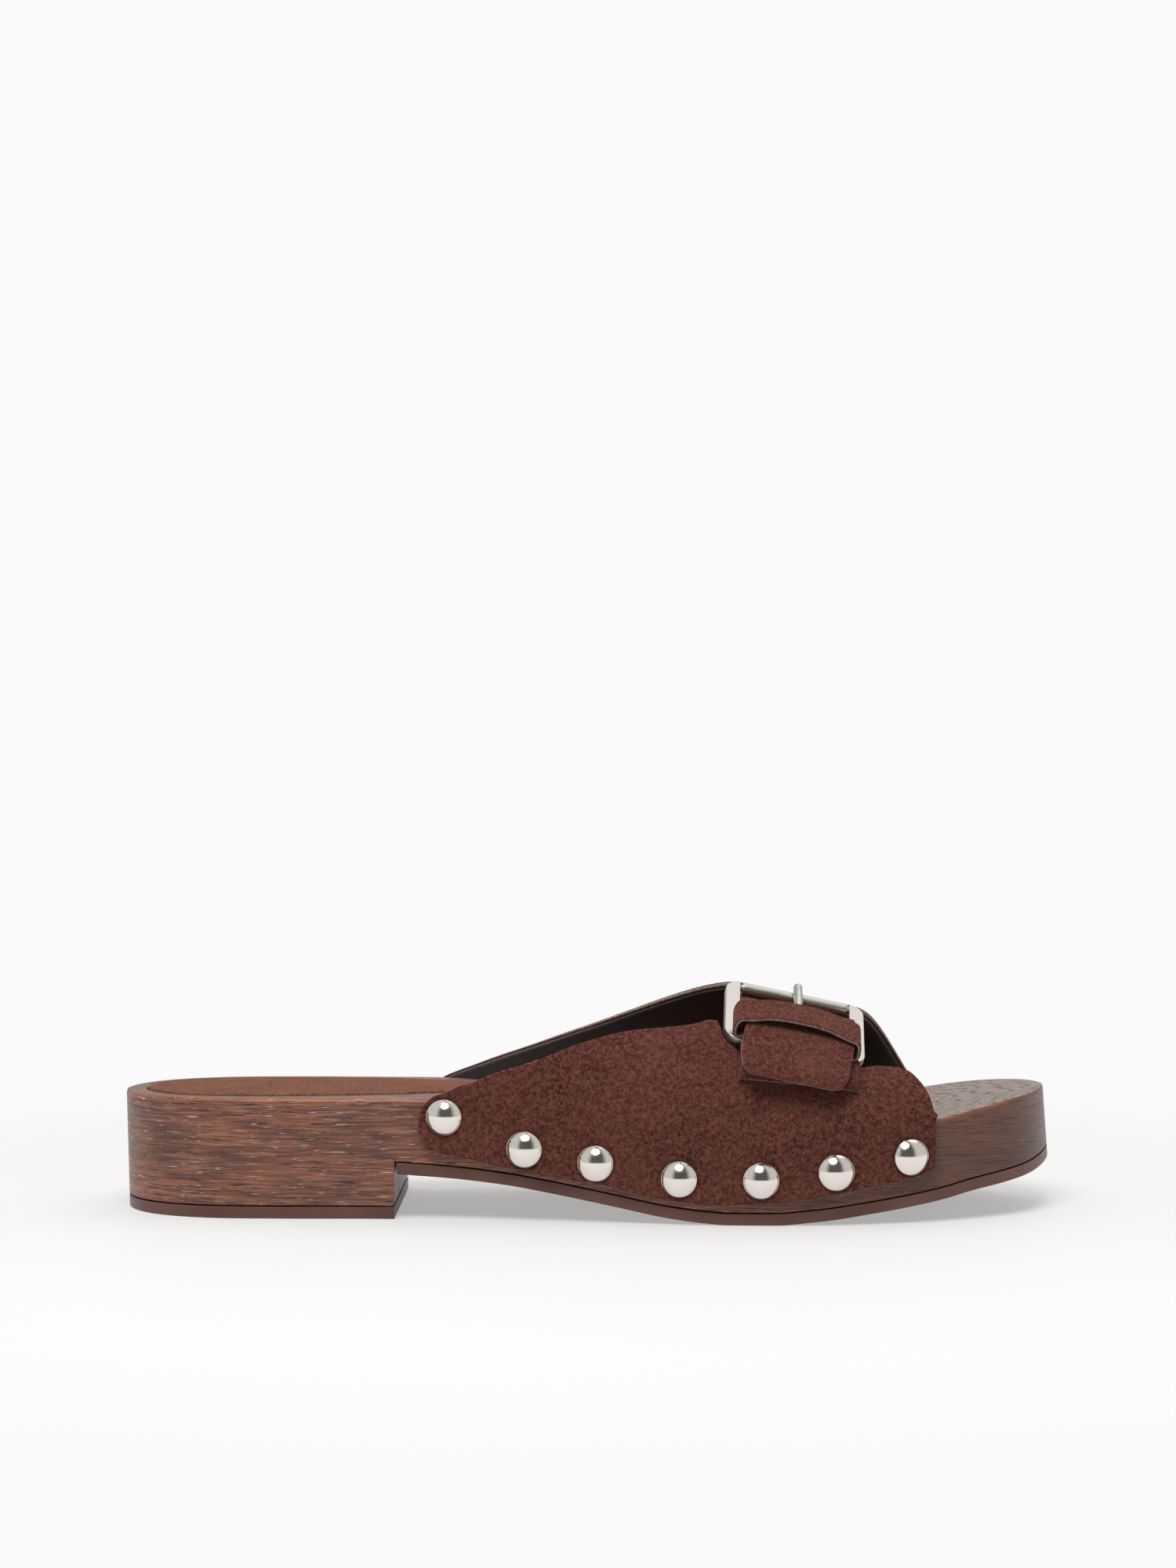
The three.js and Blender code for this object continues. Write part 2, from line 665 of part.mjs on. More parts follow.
// Prong: an eye round the heel bar and a cranked wire that rests over the roller.
function buckleProng() {
  const eye = new THREE.LatheGeometry([
    [prongEyeInner, -prongEyeWidth / 2], [prongEyeOuter, -prongEyeWidth / 2],
    [prongEyeOuter, prongEyeWidth / 2], [prongEyeInner, prongEyeWidth / 2],
    [prongEyeInner, -prongEyeWidth / 2],
  ].map(([r, a]) => new THREE.Vector2(r, a)), 18).rotateZ(Math.PI / 2);
  const rest = rollerRadius + runningGap + prongWireRadius;
  const start = prongEyeInner + 0.1;
  const path = new THREE.CatmullRomCurve3([
    vec(0, start, 0.25), vec(0, 0.25 * frameLength, 0.22 * rest), vec(0, 0.41 * frameLength, 0.54 * rest),
    vec(0, 0.57 * frameLength, 0.92 * rest), vec(0, 0.74 * frameLength, 1.1 * rest),
    vec(0, 0.9 * frameLength, 1.08 * rest), vec(0, frameLength, rest),
    vec(0, frameLength + prongOverhang, 0.95 * rest),
  ], false, "centripetal");
  const section = new THREE.Shape();
  section.absarc(0, 0, prongWireRadius, 0, 2 * Math.PI);
  const wire = new THREE.ExtrudeGeometry(section, {
    steps: 14, extrudePath: path, curveSegments: 5, bevelEnabled: false,
  });
  return toGeometry(toSolid(wire).add(toSolid(eye)).translate([prongOffset, 0, 0]));
}

// Tab: folded round the heel bar with one leg on each face of the lateral upper, and slotted for
// the prong's eye.
function buckleTab() {
  const middle = prongEyeInner + tabThickness / 2;
  const innerStack = leatherInner - runningGap - tabThickness / 2 - 0.2;
  const settled = leatherOuter + runningGap + tabThickness / 2;
  const settle = tabOuterLeg - 2.6;
  const outer = (b) => highestOffPanel(b, settled);
  const rows = [
    ...range(-tabInnerLeg, -4.6, 3).map((b) => [b, (a) => offPanel(a, b, innerStack)]),
    ...range(-100, 100, 8).map((degrees) => {
      const turn = THREE.MathUtils.degToRad(degrees);
      return [middle * Math.cos(turn), () => middle * Math.sin(turn)];
    }),
    [-tabSettles, () => outer(-tabSettles)], [-5.5, () => outer(-5.5)], [-8, () => outer(-8)],
    [-settle, () => outer(-settle)],
    [-settle - 1.2, (a) => offPanel(a, -settle - 1.2, settled + 0.6)],
    [-tabOuterLeg, (a) => offPanel(a, -tabOuterLeg, settled)],
  ];
  const grid = rows.map(([b, height]) => {
    const half = b > -3 ? frameInnerWidth / 2 - foldInset : tabWidth / 2;
    return range(half, -half, 4).map((a) => vec(a, b, height(a)));
  });
  const slot = new THREE.BoxGeometry(prongEyeWidth + 1.2, 8, 12)
    .translate(prongOffset, 4 - prongEyeOuter - 0.6, 0);
  const strip = toSolid(sheet(grid, -tabThickness / 2, tabThickness / 2));
  return toGeometry(strip.subtract(toSolid(slot)));
}

// Keeper: a loose closed loop round the strap, lying over the heel bar.
function keeperLoop() {
  const inside = strapWidth / 2 + keeperSlack;
  const low = keeperFloor + keeperThickness;
  const high = strapOver + leatherOuter;
  const inner = [
    [0, low], [inside - 4.2, low], [inside - 2.1, low - 0.2], [inside - 0.7, low - 1],
    [inside, low - 0.3], [inside + 0.05, high - 1.2], [inside - 0.45, high + 0.35],
    [inside - 3.2, high + 0.5 * keeperBulge], [inside * 0.5, high + 0.8 * keeperBulge],
    [0, high + keeperBulge],
  ];
  const loop = (half, grow) => {
    const mirrored = half.slice(1, -1).reverse().map(([a, n]) => [-a, n]);
    const ring = smoothLoop([...half, ...mirrored], 40);
    if (!grow) return ring;
    return ring.map((p, i) => {
      const before = ring.at(i - 1);
      const after = ring[(i + 1) % ring.length];
      const normal = vec(after.y - before.y, before.x - after.x, 0).normalize();
      return p.clone().addScaledVector(normal, grow);
    });
  };
  const shape = new THREE.Shape(loop(inner, keeperThickness).map((p) => new THREE.Vector2(p.x, p.y)));
  shape.holes.push(new THREE.Path(loop(inner, 0).map((p) => new THREE.Vector2(p.x, p.y))));
  return new THREE.ExtrudeGeometry(shape, { depth: keeperWidth, bevelEnabled: false })
    .rotateX(Math.PI / 2)
    .translate(keeperShift, keeperCentre + keeperWidth / 2, 0);
}

// ---------------------------------------------------------------- assembly

const wood = material(woodColour, 0.4);
const rubber = material(rubberColour, 0.5);
const suede = material(suedeColour, 0.95);
const lining = material(liningColour, 0.6);
const nickel = material(nickelColour, 0.25, 1);

place(clog, "wooden_sole", woodenSole(nails), wood);
place(clog, "heel_lift", heelLift(), rubber);
place(clog, "forefoot_outsole", forefootOutsole(), rubber);

const foamLow = padFloor + glueLine;
const coverLow = foamLow + padFoamThickness + glueLine;
place(clog, "heel_pad_foam", prism(padOutline(-0.8), foamLow, foamLow + padFoamThickness),
  material(foamColour, 0.9));
place(clog, "heel_pad_cover", prism(padOutline(0), coverLow, coverLow + padCoverThickness),
  material(padColour, 0.95));

const lateral = lateralGrid();
const medial = medialGrid();
const liningOuter = leatherInner + liningThickness;
place(clog, "lateral_lining", leather(lateral, leatherInner, liningOuter, LATERAL), lining);
place(clog, "lateral_upper", leather(lateral, suedeInner, leatherOuter, LATERAL), suede);
place(clog, "medial_lining", leather(medial, leatherInner, liningOuter, MEDIAL), lining);
place(clog, "medial_upper", leather(medial, suedeInner, leatherOuter, MEDIAL), suede);

nails.forEach((nail, i) => {
  const side = nail.side === LATERAL ? "lateral" : "medial";
  const seat = nail.wall.clone().addScaledVector(nail.outward, leatherOuter + nailSeatGap);
  const head = place(clog, `${side}_nail_${(i % lateralNails.length) + 1}`, nailGeometry(), nickel);
  head.position.copy(seat);
  head.quaternion.setFromUnitVectors(vec(0, 1, 0), nail.outward);
});

const buckle = new THREE.Group();
buckle.quaternion.setFromRotationMatrix(buckleMatrix);
buckle.position.copy(heelBar);
clog.add(buckle);
place(buckle, "buckle_frame", buckleFrame(), nickel);
place(buckle, "buckle_roller", buckleRoller(), nickel);
place(buckle, "buckle_prong", buckleProng(), nickel);
place(buckle, "buckle_tab", buckleTab(), suede);
place(buckle, "keeper_loop", keeperLoop(), suede);

// The origin is the middle of the bounding box at ground level.
const box = new THREE.Box3().setFromObject(clog, true);
clog.position.set(-(box.min.x + box.max.x) / 2, -(box.min.y + box.max.y) / 2, -box.min.z);
clog.updateMatrixWorld(true);

export default clog;
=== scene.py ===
import math
import bmesh
import bpy
import numpy as np
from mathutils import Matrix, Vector, noise


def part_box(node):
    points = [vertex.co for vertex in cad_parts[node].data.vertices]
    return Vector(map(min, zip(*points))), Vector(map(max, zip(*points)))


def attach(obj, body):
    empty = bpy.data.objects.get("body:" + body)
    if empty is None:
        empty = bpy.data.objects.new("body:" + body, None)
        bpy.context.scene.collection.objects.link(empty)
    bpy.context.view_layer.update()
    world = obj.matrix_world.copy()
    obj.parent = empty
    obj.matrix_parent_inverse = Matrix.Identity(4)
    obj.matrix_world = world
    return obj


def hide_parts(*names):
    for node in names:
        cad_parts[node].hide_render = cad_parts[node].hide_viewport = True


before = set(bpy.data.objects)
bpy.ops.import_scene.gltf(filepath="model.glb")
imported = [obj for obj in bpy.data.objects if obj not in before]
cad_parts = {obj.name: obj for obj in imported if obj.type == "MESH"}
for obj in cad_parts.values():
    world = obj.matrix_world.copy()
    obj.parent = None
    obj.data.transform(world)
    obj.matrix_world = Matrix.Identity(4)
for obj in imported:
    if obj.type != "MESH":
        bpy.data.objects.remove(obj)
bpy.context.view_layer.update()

# ---------------------------------------------------------------- camera, floor and studio
# The clog stands on a pale seamless floor and is seen level, square on to its outer side. A round
# softbox hangs in front and above, a larger and weaker one fills in from behind and above, and
# white walls stand to the left, right and behind.
scene = bpy.context.scene
scene.view_settings.view_transform = "Standard"

EYE_HEIGHT = 0.1136
EYE_DISTANCE = 0.8194
LENS = 69.3

camera_data = bpy.data.cameras.new("camera")
camera_data.lens = LENS
camera_data.sensor_width = 36
camera_data.clip_end = 100
camera = bpy.data.objects.new("camera", camera_data)
camera.location = (0, -EYE_DISTANCE, EYE_HEIGHT)
camera.rotation_euler = (math.radians(90), 0, 0)
scene.collection.objects.link(camera)
scene.camera = camera


def new_material(name):
    material = bpy.data.materials.new(name)
    material.use_nodes = True
    return material, material.node_tree, material.node_tree.nodes["Principled BSDF"]


def node(tree, kind, inputs=None, **settings):
    """A node with its settings, its inputs set to a value or linked to another node's output."""
    made = tree.nodes.new(kind)
    for key, value in settings.items():
        setattr(made, key, value)
    for key, value in (inputs or {}).items():
        if isinstance(value, bpy.types.NodeSocket):
            tree.links.new(value, made.inputs[key])
        else:
            made.inputs[key].default_value = value
    return made


def object_place(tree):
    """Where a point lies in the clog's own frame, in metres."""
    return node(tree, "ShaderNodeTexCoord").outputs["Object"]


def maths(tree, operation, a, b=0.0, c=0.0):
    return node(tree, "ShaderNodeMath", {0: a, 1: b, 2: c}, operation=operation).outputs[0]


def ramp(tree, factor, stops):
    """A colour ramp through (place, grey or colour) stops."""
    made = node(tree, "ShaderNodeValToRGB", {"Fac": factor})
    while len(made.color_ramp.elements) < len(stops):
        made.color_ramp.elements.new(0.5)
    for element, (place, colour) in zip(made.color_ramp.elements, stops):
        element.position = place
        element.color = (*colour, 1) if isinstance(colour, tuple) else (colour, colour, colour, 1)
    return made.outputs[0]


def link_mesh(name, mesh, *materials):
    piece = bpy.data.objects.new(name, mesh)
    scene.collection.objects.link(piece)
    for material in materials:
        mesh.materials.append(material)
    return piece


BACKDROP = (0.955, 0.955, 0.955, 1)
FLOOR = 12
FLOOR_WHITE = (0.7, 0.695, 0.69, 1)
FADE_FROM, FADE_TO = 0.15, 0.34
FADE_LEAST = 0.4
floor_mesh = bpy.data.meshes.new("floor")
floor_mesh.from_pydata(
    [(-FLOOR, -FLOOR, 0), (FLOOR, -FLOOR, 0), (FLOOR, FLOOR, 0), (-FLOOR, FLOOR, 0)], [], [(0, 1, 2, 3)]
)
floor_material, floor_tree, floor_shader = new_material("floor_white")
floor_shader.inputs["Base Color"].default_value = FLOOR_WHITE
floor_shader.inputs["Roughness"].default_value = 0.6
floor_far = node(
    floor_tree, "ShaderNodeVectorMath", {0: object_place(floor_tree)}, operation="LENGTH").outputs["Value"]
floor_fade = node(floor_tree, "ShaderNodeMapRange", {
    "Value": floor_far, "From Min": FADE_FROM, "From Max": FADE_TO, "To Min": FADE_LEAST,
}, interpolation_type="SMOOTHSTEP").outputs[0]
floor_glow = node(floor_tree, "ShaderNodeEmission", {"Color": BACKDROP})
floor_mix = node(floor_tree, "ShaderNodeMixShader", {
    0: floor_fade, 1: floor_shader.outputs[0], 2: floor_glow.outputs[0]})
floor_tree.links.new(floor_mix.outputs[0], floor_tree.nodes["Material Output"].inputs["Surface"])
floor = link_mesh("floor", floor_mesh, floor_material)

WALL_LIGHT = 0.55
ROOM_LIGHT = 0.1
world = bpy.data.worlds.new("studio")
world.use_nodes = True
scene.world = world
tree = world.node_tree
direction = node(tree, "ShaderNodeTexCoord").outputs["Generated"]
split = node(tree, "ShaderNodeSeparateXYZ", {0: direction}).outputs
squares = [maths(tree, "MULTIPLY", split[i], split[i]) for i in (0, 1)]
flat_length = maths(tree, "SQRT", maths(tree, "ADD", *squares))
aside = maths(tree, "DIVIDE", maths(tree, "ABSOLUTE", split[0]), maths(tree, "MAXIMUM", flat_length, 0.05))
wall = ramp(tree, aside, [(0.5, 0.0), (0.8, 1.0)])
behind = ramp(tree, maths(tree, "MULTIPLY_ADD", split[1], 0.5, 0.5), [(0.45, 0.0), (0.6, 1.0)])
white = maths(tree, "MAXIMUM", wall, behind)
strength = maths(tree, "MULTIPLY_ADD", white, WALL_LIGHT, ROOM_LIGHT)
seen = node(tree, "ShaderNodeLightPath").outputs["Is Camera Ray"]
studio = node(tree, "ShaderNodeBackground", {"Color": (1, 0.995, 0.985, 1), "Strength": strength})
backdrop = node(tree, "ShaderNodeBackground", {"Color": BACKDROP})
shown = node(tree, "ShaderNodeMixShader", {0: seen, 1: studio.outputs[0], 2: backdrop.outputs[0]})
tree.links.new(shown.outputs[0], tree.nodes["World Output"].inputs["Surface"])


def softbox(name, place, size, power, target=(0, 0, 0.03)):
    data = bpy.data.lights.new(name, "AREA")
    data.shape = "DISK"
    data.size = size
    data.energy = power
    light = bpy.data.objects.new(name, data)
    light.location = place
    light.rotation_euler = (Vector(target) - Vector(place)).to_track_quat("-Z", "Y").to_euler()
    scene.collection.objects.link(light)


softbox("softbox", (-0.15, -0.75, 1.25), 0.85, 19)
softbox("top_fill", (0.5, 0.55, 1.5), 1.6, 6)

# ---------------------------------------------------------------- wooden sole
# One piece of ring-porous hardwood, carved and sanded with its block heel, stained dark brown and
# lacquered. The stain is thin along the top edge, where the red of the wood shows.
MM = 0.001
SOLE_LENGTH = 250
HEEL_WIDTH = 62.5
BALL_WIDTH = 87
HEEL_SEAT_HEIGHT = 31.3
BALL_HEIGHT = 21.8
TOE_HEIGHT = 32.2
BREAST_HEIGHT = 11.7
TOE_SPRING = 13
HEEL_BLOCK = 74.4
WIDENS_FROM, WIDENS_TO = 62.5, 150
LIFT_THICKNESS = 3.1
OUTSOLE_THICKNESS = 3
GLUE_LINE = 0.3
LATERAL, MEDIAL = -1, 1

OUTLINE = [
    (0, 0), (2.6, -0.4), (10, -0.72), (24, -0.94), (45, -1.005), (68, -1.012), (90, -0.99),
    (110, -0.965), (135, -0.945), (160, -1), (180, -1.01), (200, -0.965), (217, -0.85),
    (230, -0.7), (240, -0.517), (247, -0.24), (250, 0.09), (247.5, 0.345), (240, 0.55),
    (228, 0.76), (215, 0.89), (200, 0.965), (180, 0.99), (160, 0.94), (140, 0.836),
    (120, 0.776), (100, 0.79), (80, 0.885), (60, 0.973), (45, 0.99), (24, 0.93), (10, 0.714),
    (2.6, 0.4),
]


def smooth_step(x, low, high):
    t = min(max((x - low) / (high - low), 0), 1)
    return t * t * (3 - 2 * t)


def smooth_table(rows):
    """A smooth curve through (x, y) rows that never overshoots between two of them."""
    rows = sorted(rows)
    secant = [(q[1] - p[1]) / (q[0] - p[0]) for p, q in zip(rows, rows[1:])]
    slopes = [secant[0]]
    for before, after in zip(secant, secant[1:]):
        slopes.append(2 * before * after / (before + after) if before * after > 0 else 0)
    slopes.append(secant[-1])

    def at(x):
        x = min(max(x, rows[0][0]), rows[-1][0])
        i = 0
        while i < len(rows) - 2 and x > rows[i + 1][0]:
            i += 1
        span = rows[i + 1][0] - rows[i][0]
        t = (x - rows[i][0]) / span
        start = (1 + 2 * t) * (1 - t) ** 2 * rows[i][1] + t * (1 - t) ** 2 * span * slopes[i]
        end = t * t * (3 - 2 * t) * rows[i + 1][1] + t * t * (t - 1) * span * slopes[i + 1]
        return start + end

    return at


def smooth_line(points, per_span, closed=False):
    """Centripetal Catmull-Rom curve through the points, with per_span steps between two of them."""
    p = [np.array(q, float) for q in points]
    count = len(p)
    get = (lambda i: p[i % count]) if closed else (
        lambda i: 2 * p[0] - p[1] if i < 0 else 2 * p[-1] - p[-2] if i >= count else p[i])
    out = []
    for i in range(count if closed else count - 1):
        q = [get(i + k) for k in (-1, 0, 1, 2)]
        knots = [0.0]
        for k in range(3):
            knots.append(knots[-1] + max(np.linalg.norm(q[k + 1] - q[k]), 1e-6) ** 0.5)
        for step in range(per_span):
            t = knots[1] + (knots[2] - knots[1]) * step / per_span
            a = [((knots[k + 1] - t) * q[k] + (t - knots[k]) * q[k + 1]) / (knots[k + 1] - knots[k])
                 for k in range(3)]
            b = [((knots[k + 2] - t) * a[k] + (t - knots[k]) * a[k + 1]) / (knots[k + 2] - knots[k])
                 for k in range(2)]
            out.append(((knots[2] - t) * b[0] + (t - knots[1]) * b[1]) / (knots[2] - knots[1]))
    if not closed:
        out.append(p[-1])
    return np.array(out)


def ball_share(x):
    return (HEEL_WIDTH + (BALL_WIDTH - HEEL_WIDTH) * smooth_step(x, WIDENS_FROM, WIDENS_TO)) / 2


outline = smooth_line([(x, share * ball_share(x)) for x, share in OUTLINE], 24, closed=True)
heel_back = int(np.argmin(outline[:, 0]))
outline = np.roll(outline, -heel_back, axis=0)
toe_tip = int(np.argmax(outline[:, 0]))
lateral_line = outline[: toe_tip + 1]
medial_line = np.vstack([outline[toe_tip:], outline[:1]])[::-1]


def edge_at(x, side):
    """How far the edge of the sole lies from the middle line at x."""
    line = lateral_line if side == LATERAL else medial_line
    return side * float(np.interp(x, line[:, 0], line[:, 1]))


def wall_normal(x, side):
    slope = edge_at(x + 0.5, side) - edge_at(x - 0.5, side)
    return np.array([-slope, side, 0]) / math.hypot(slope, 1)


top_to_heel = smooth_table([
    (0, 1), (82, 1), (97, 0.9), (110, 0.71), (120, 0.56), (131, 0.36), (145, 0.2), (165, 0.02), (172, 0)])
top_to_toe = smooth_table([
    (172, 0), (190, 0.13), (200, 0.27), (215, 0.48), (230, 0.76), (241, 0.92), (250, 1)])
under_to_heel = smooth_table([
    (75, 1), (90, 0.92), (104, 0.795), (115, 0.64), (132, 0.36), (144, 0.154), (152, 0.06), (160, 0)])
under_to_toe = smooth_table([
    (175, 0), (187, 0.09), (197, 0.2), (207.5, 0.32), (217, 0.446), (225, 0.585), (235, 0.71),
    (243, 0.83), (246, 0.9), (250, 1)])


def top_edge(x):
    return (BALL_HEIGHT + top_to_heel(x) * (HEEL_SEAT_HEIGHT - BALL_HEIGHT)
            + top_to_toe(x) * (TOE_HEIGHT - BALL_HEIGHT))


def underside(x):
    return under_to_heel(x) * BREAST_HEIGHT + under_to_toe(x) * TOE_SPRING


def wood_underside(x):
    return underside(x) + OUTSOLE_THICKNESS + GLUE_LINE


# The row's frame: millimetres from the back of the heel and the middle line, to metres.
sole_low, sole_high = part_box("wooden_sole")
SHIFT = np.array([sole_low.x / MM - outline[:, 0].min(), sole_low.y / MM - outline[:, 1].min(), 0])


def to_row(points):
    return (np.asarray(points, float) + SHIFT) * MM


SAME_POINT = 1e-6
NO_LENGTH = 1e-7


def weld(mesh):
    """Joins the points that coincide, faces the mesh out and shades it smooth."""
    work = bmesh.new()
    work.from_mesh(mesh)
    bmesh.ops.remove_doubles(work, verts=work.verts, dist=SAME_POINT)
    bmesh.ops.dissolve_degenerate(work, edges=work.edges, dist=NO_LENGTH)
    bmesh.ops.recalc_face_normals(work, faces=work.faces)
    work.to_mesh(mesh)
    work.free()
    mesh.shade_smooth()


def mesh_of(name, points, faces):
    """A welded mesh from points in the row's metres."""
    mesh = bpy.data.meshes.new(name)
    mesh.from_pydata([tuple(p) for p in points], [], faces)
    weld(mesh)
    return mesh


def ring_faces(rings, count, joined=False):
    """The faces between rings of count points each, with the last ring joined to the first or not."""
    faces = []
    for i in range(rings if joined else rings - 1):
        after = (i + 1) % rings
        for k in range(count):
            j = (k + 1) % count
            faces.append((i * count + k, i * count + j, after * count + j, after * count + k))
    return faces


def sharpen(piece, degrees):
    """Keeps edges sharper than this as edges when the piece is shaded smooth."""
    piece.data.set_sharp_from_angle(angle=math.radians(degrees))


def end_spaced(low, high, count):
    """Stations from low to high, crowded towards the rounded ends."""
    return [low + (high - low) * (1 - math.cos(math.pi * i / count)) / 2 for i in range(count + 1)]


HEEL_TUCK, HEEL_TUCK_TO = 0.9, 30
TOE_RAKE, TOE_RAKE_FROM = 1.3, 215


def raked(x, z):
    """The back of the heel tucks in towards the ground, and the toe leans out."""
    heel = HEEL_TUCK * smooth_step(HEEL_TUCK_TO - x, 0, HEEL_TUCK_TO) * (1 - z / HEEL_SEAT_HEIGHT)
    lean = smooth_step(x, TOE_RAKE_FROM, SOLE_LENGTH)
    toe = TOE_RAKE * lean * (z - TOE_SPRING) / (TOE_HEIGHT - TOE_SPRING)
    return x + heel - toe


def loft(name, stations, bottom, top, bottom_round, top_round):
    """The sole's outline between two height curves, as sections across it, its edges rounded."""
    insets = [0, 0.08, 0.22, 0.42, 0.68, 1]
    heights = [0.02, 0.08, 0.2, 0.35, 0.5, 0.65, 0.8, 0.92, 0.98]
    points = []
    for x in stations:
        left, right = edge_at(x, LATERAL), edge_at(x, MEDIAL)
        wide = left + right
        turn = [max(abs(wall_normal(x, side)[1]), 0.02) for side in (LATERAL, MEDIAL)]

        def across(radius):
            reach = [min(radius * k / turn[0], 0.3 * wide) for k in insets]
            back = [min(radius * k / turn[1], 0.3 * wide) for k in insets]
            inner = np.linspace(-left + reach[-1], right - back[-1], 22)[1:-1]
            return [*(-left + r for r in reach), *inner, *(right - r for r in reversed(back))]

        def drop(y, radius):
            inset = min((y + left) * turn[0], (right - y) * turn[1])
            if inset >= radius:
                return 0
            return radius - math.sqrt(max(radius ** 2 - (radius - inset) ** 2, 0))

        low, high = bottom(x), top(x)
        ring = [(y, low + drop(y, bottom_round)) for y in across(bottom_round)]
        wall_low, wall_high = low + bottom_round, high - top_round
        rise = [wall_low + (wall_high - wall_low) * h for h in heights]
        ring += [(right, z) for z in rise]
        ring += [(y, high - drop(y, top_round)) for y in reversed(across(top_round))]
        ring += [(-left, z) for z in reversed(rise)]
        points += [(raked(x, z), y, z) for y, z in ring]
    size = len(points) // len(stations)
    faces = ring_faces(len(stations), size)
    faces.append(tuple(range(size)))
    faces.append(tuple(range((len(stations) - 1) * size, len(stations) * size)))
    return mesh_of(name, to_row(points), faces)


def mix_colours(tree, factor, a, b, blend="MIX"):
    """A Mix node for colours: its colour sockets are the third pair."""
    made = tree.nodes.new("ShaderNodeMix")
    made.data_type = "RGBA"
    made.blend_type = blend
    for socket, value in ((made.inputs[0], factor), (made.inputs[6], a), (made.inputs[7], b)):
        if isinstance(value, bpy.types.NodeSocket):
            tree.links.new(value, socket)
        elif socket is made.inputs[0]:
            socket.default_value = value
        else:
            socket.default_value = (*value, 1)
    return made.outputs[2]


def mottle(tree, place, scale, detail, roughness=0.5):
    return node(tree, "ShaderNodeTexNoise", {
        "Vector": place, "Scale": scale, "Detail": detail, "Roughness": roughness}).outputs[0]


def roughen(tree, shader, height, strength, distance):
    """Bumps the surface by a height, by up to this distance in metres."""
    bump = node(tree, "ShaderNodeBump", {"Strength": strength, "Distance": distance, "Height": height})
    tree.links.new(bump.outputs[0], shader.inputs["Normal"])


def wood_material():
    material, tree, shader = new_material("stained_wood")
    metres = node(tree, "ShaderNodeSeparateXYZ", {0: object_place(tree)}).outputs
    # Streaks run round the walls as they do along them, so across the board they count on top only.
    normal = node(tree, "ShaderNodeNewGeometry").outputs["Normal"]
    facing = node(tree, "ShaderNodeSeparateXYZ", {0: normal}).outputs[2]
    flat = ramp(tree, maths(tree, "ABSOLUTE", facing), [(0.45, 0.05), (0.6, 1.0)])
    place = node(tree, "ShaderNodeCombineXYZ", {
        0: metres[0], 1: maths(tree, "MULTIPLY", metres[1], flat), 2: metres[2]}).outputs[0]

    def grain(scale, detail=3.0):
        stretched = node(tree, "ShaderNodeMapping", {0: place, "Scale": scale}).outputs[0]
        return mottle(tree, stretched, 1.0, detail, 0.6)

    # Growth rings: nearly flat layers, bowed across the board and wandering along it.
    bow = maths(tree, "MULTIPLY", maths(tree, "MULTIPLY", metres[1], metres[1]), 4.2)
    depth = maths(tree, "MULTIPLY_ADD", grain((14, 40, 40)), 0.012, maths(tree, "ADD", metres[2], bow))
    ring = maths(tree, "FRACT", maths(tree, "MULTIPLY", depth, 900))
    fibre, streak = grain((70, 1100, 1500), 4.0), grain((120, 1900, 2700))
    pore, glint_noise, patch = grain((150, 2300, 2600), 2.0), grain((190, 2700, 3300), 2.0), grain((22, 60, 95))
    stain = ramp(tree, patch, [
        (0.3, (0.06, 0.023, 0.015)), (0.46, (0.12, 0.041, 0.025)), (0.58, (0.19, 0.060, 0.032)),
        (0.7, (0.26, 0.078, 0.036))])
    light = mix_colours(tree, ramp(tree, fibre, [(0.42, 0.0), (0.66, 0.75)]), stain, (0.33, 0.145, 0.088))
    dark = mix_colours(tree, ramp(tree, streak, [(0.47, 0.0), (0.64, 0.75)]), light, (0.042, 0.017, 0.012))
    # The stain went on thicker over the toe, whose flat grain shows its rings from above; the upward-facing
    # top of the toe is greyed with a painted reflection of the pale backdrop.
    toe = node(tree, "ShaderNodeMapRange", {
        "Value": metres[0], "From Min": 0.04, "From Max": 0.085}).outputs[0]
    top = maths(tree, "MULTIPLY", toe, ramp(tree, facing, [(0.6, 0.0), (0.85, 1.0)]))
    dulled = mix_colours(tree, maths(tree, "MULTIPLY", toe, 0.7), dark, (0.075, 0.033, 0.022))
    # Painted reflection: the toe's top is mixed towards pale grey where its lacquer would mirror the
    # backdrop.
    painted_top_reflection = mix_colours(tree, maths(tree, "MULTIPLY", top, 0.75), dulled, (0.27, 0.20, 0.17))
    worn = node(tree, "ShaderNodeAttribute", attribute_name="thin_stain").outputs["Fac"]
    red = mix_colours(tree, worn, painted_top_reflection, (0.42, 0.13, 0.05))
    line = maths(tree, "MULTIPLY", ramp(tree, ring, [(0.0, 0.0), (0.15, 1.0), (0.4, 0.0)]),
                 ramp(tree, grain((90, 220, 220)), [(0.36, 0.0), (0.46, 1.0)]))
    open_pore = maths(tree, "MAXIMUM", ramp(tree, pore, [(0.58, 0.0), (0.65, 0.8)]),
                      maths(tree, "MULTIPLY", line, top))
    pored = mix_colours(tree, open_pore, red, (0.016, 0.008, 0.007))
    # Painted highlights: short light dashes along the pores stand for glints of light on the lacquer, kept
    # off the toe.
    painted_glints = maths(tree, "MULTIPLY", ramp(tree, glint_noise, [(0.655, 0.0), (0.7, 0.75)]),
                   maths(tree, "SUBTRACT", 1.0, toe))
    tree.links.new(mix_colours(tree, painted_glints, pored, (0.62, 0.48, 0.40)), shader.inputs["Base Color"])
    rough = ramp(tree, fibre, [(0.3, 0.34), (0.7, 0.5)])
    tree.links.new(rough, shader.inputs["Roughness"])
    shader.inputs["Specular IOR Level"].default_value = 0.42
    shader.inputs["Coat Weight"].default_value = 0.08
    shader.inputs["Coat Roughness"].default_value = 0.25
    height = maths(tree, "SUBTRACT", maths(tree, "MULTIPLY", fibre, 0.35), open_pore)
    roughen(tree, shader, height, 0.5, 0.0002)
    return material


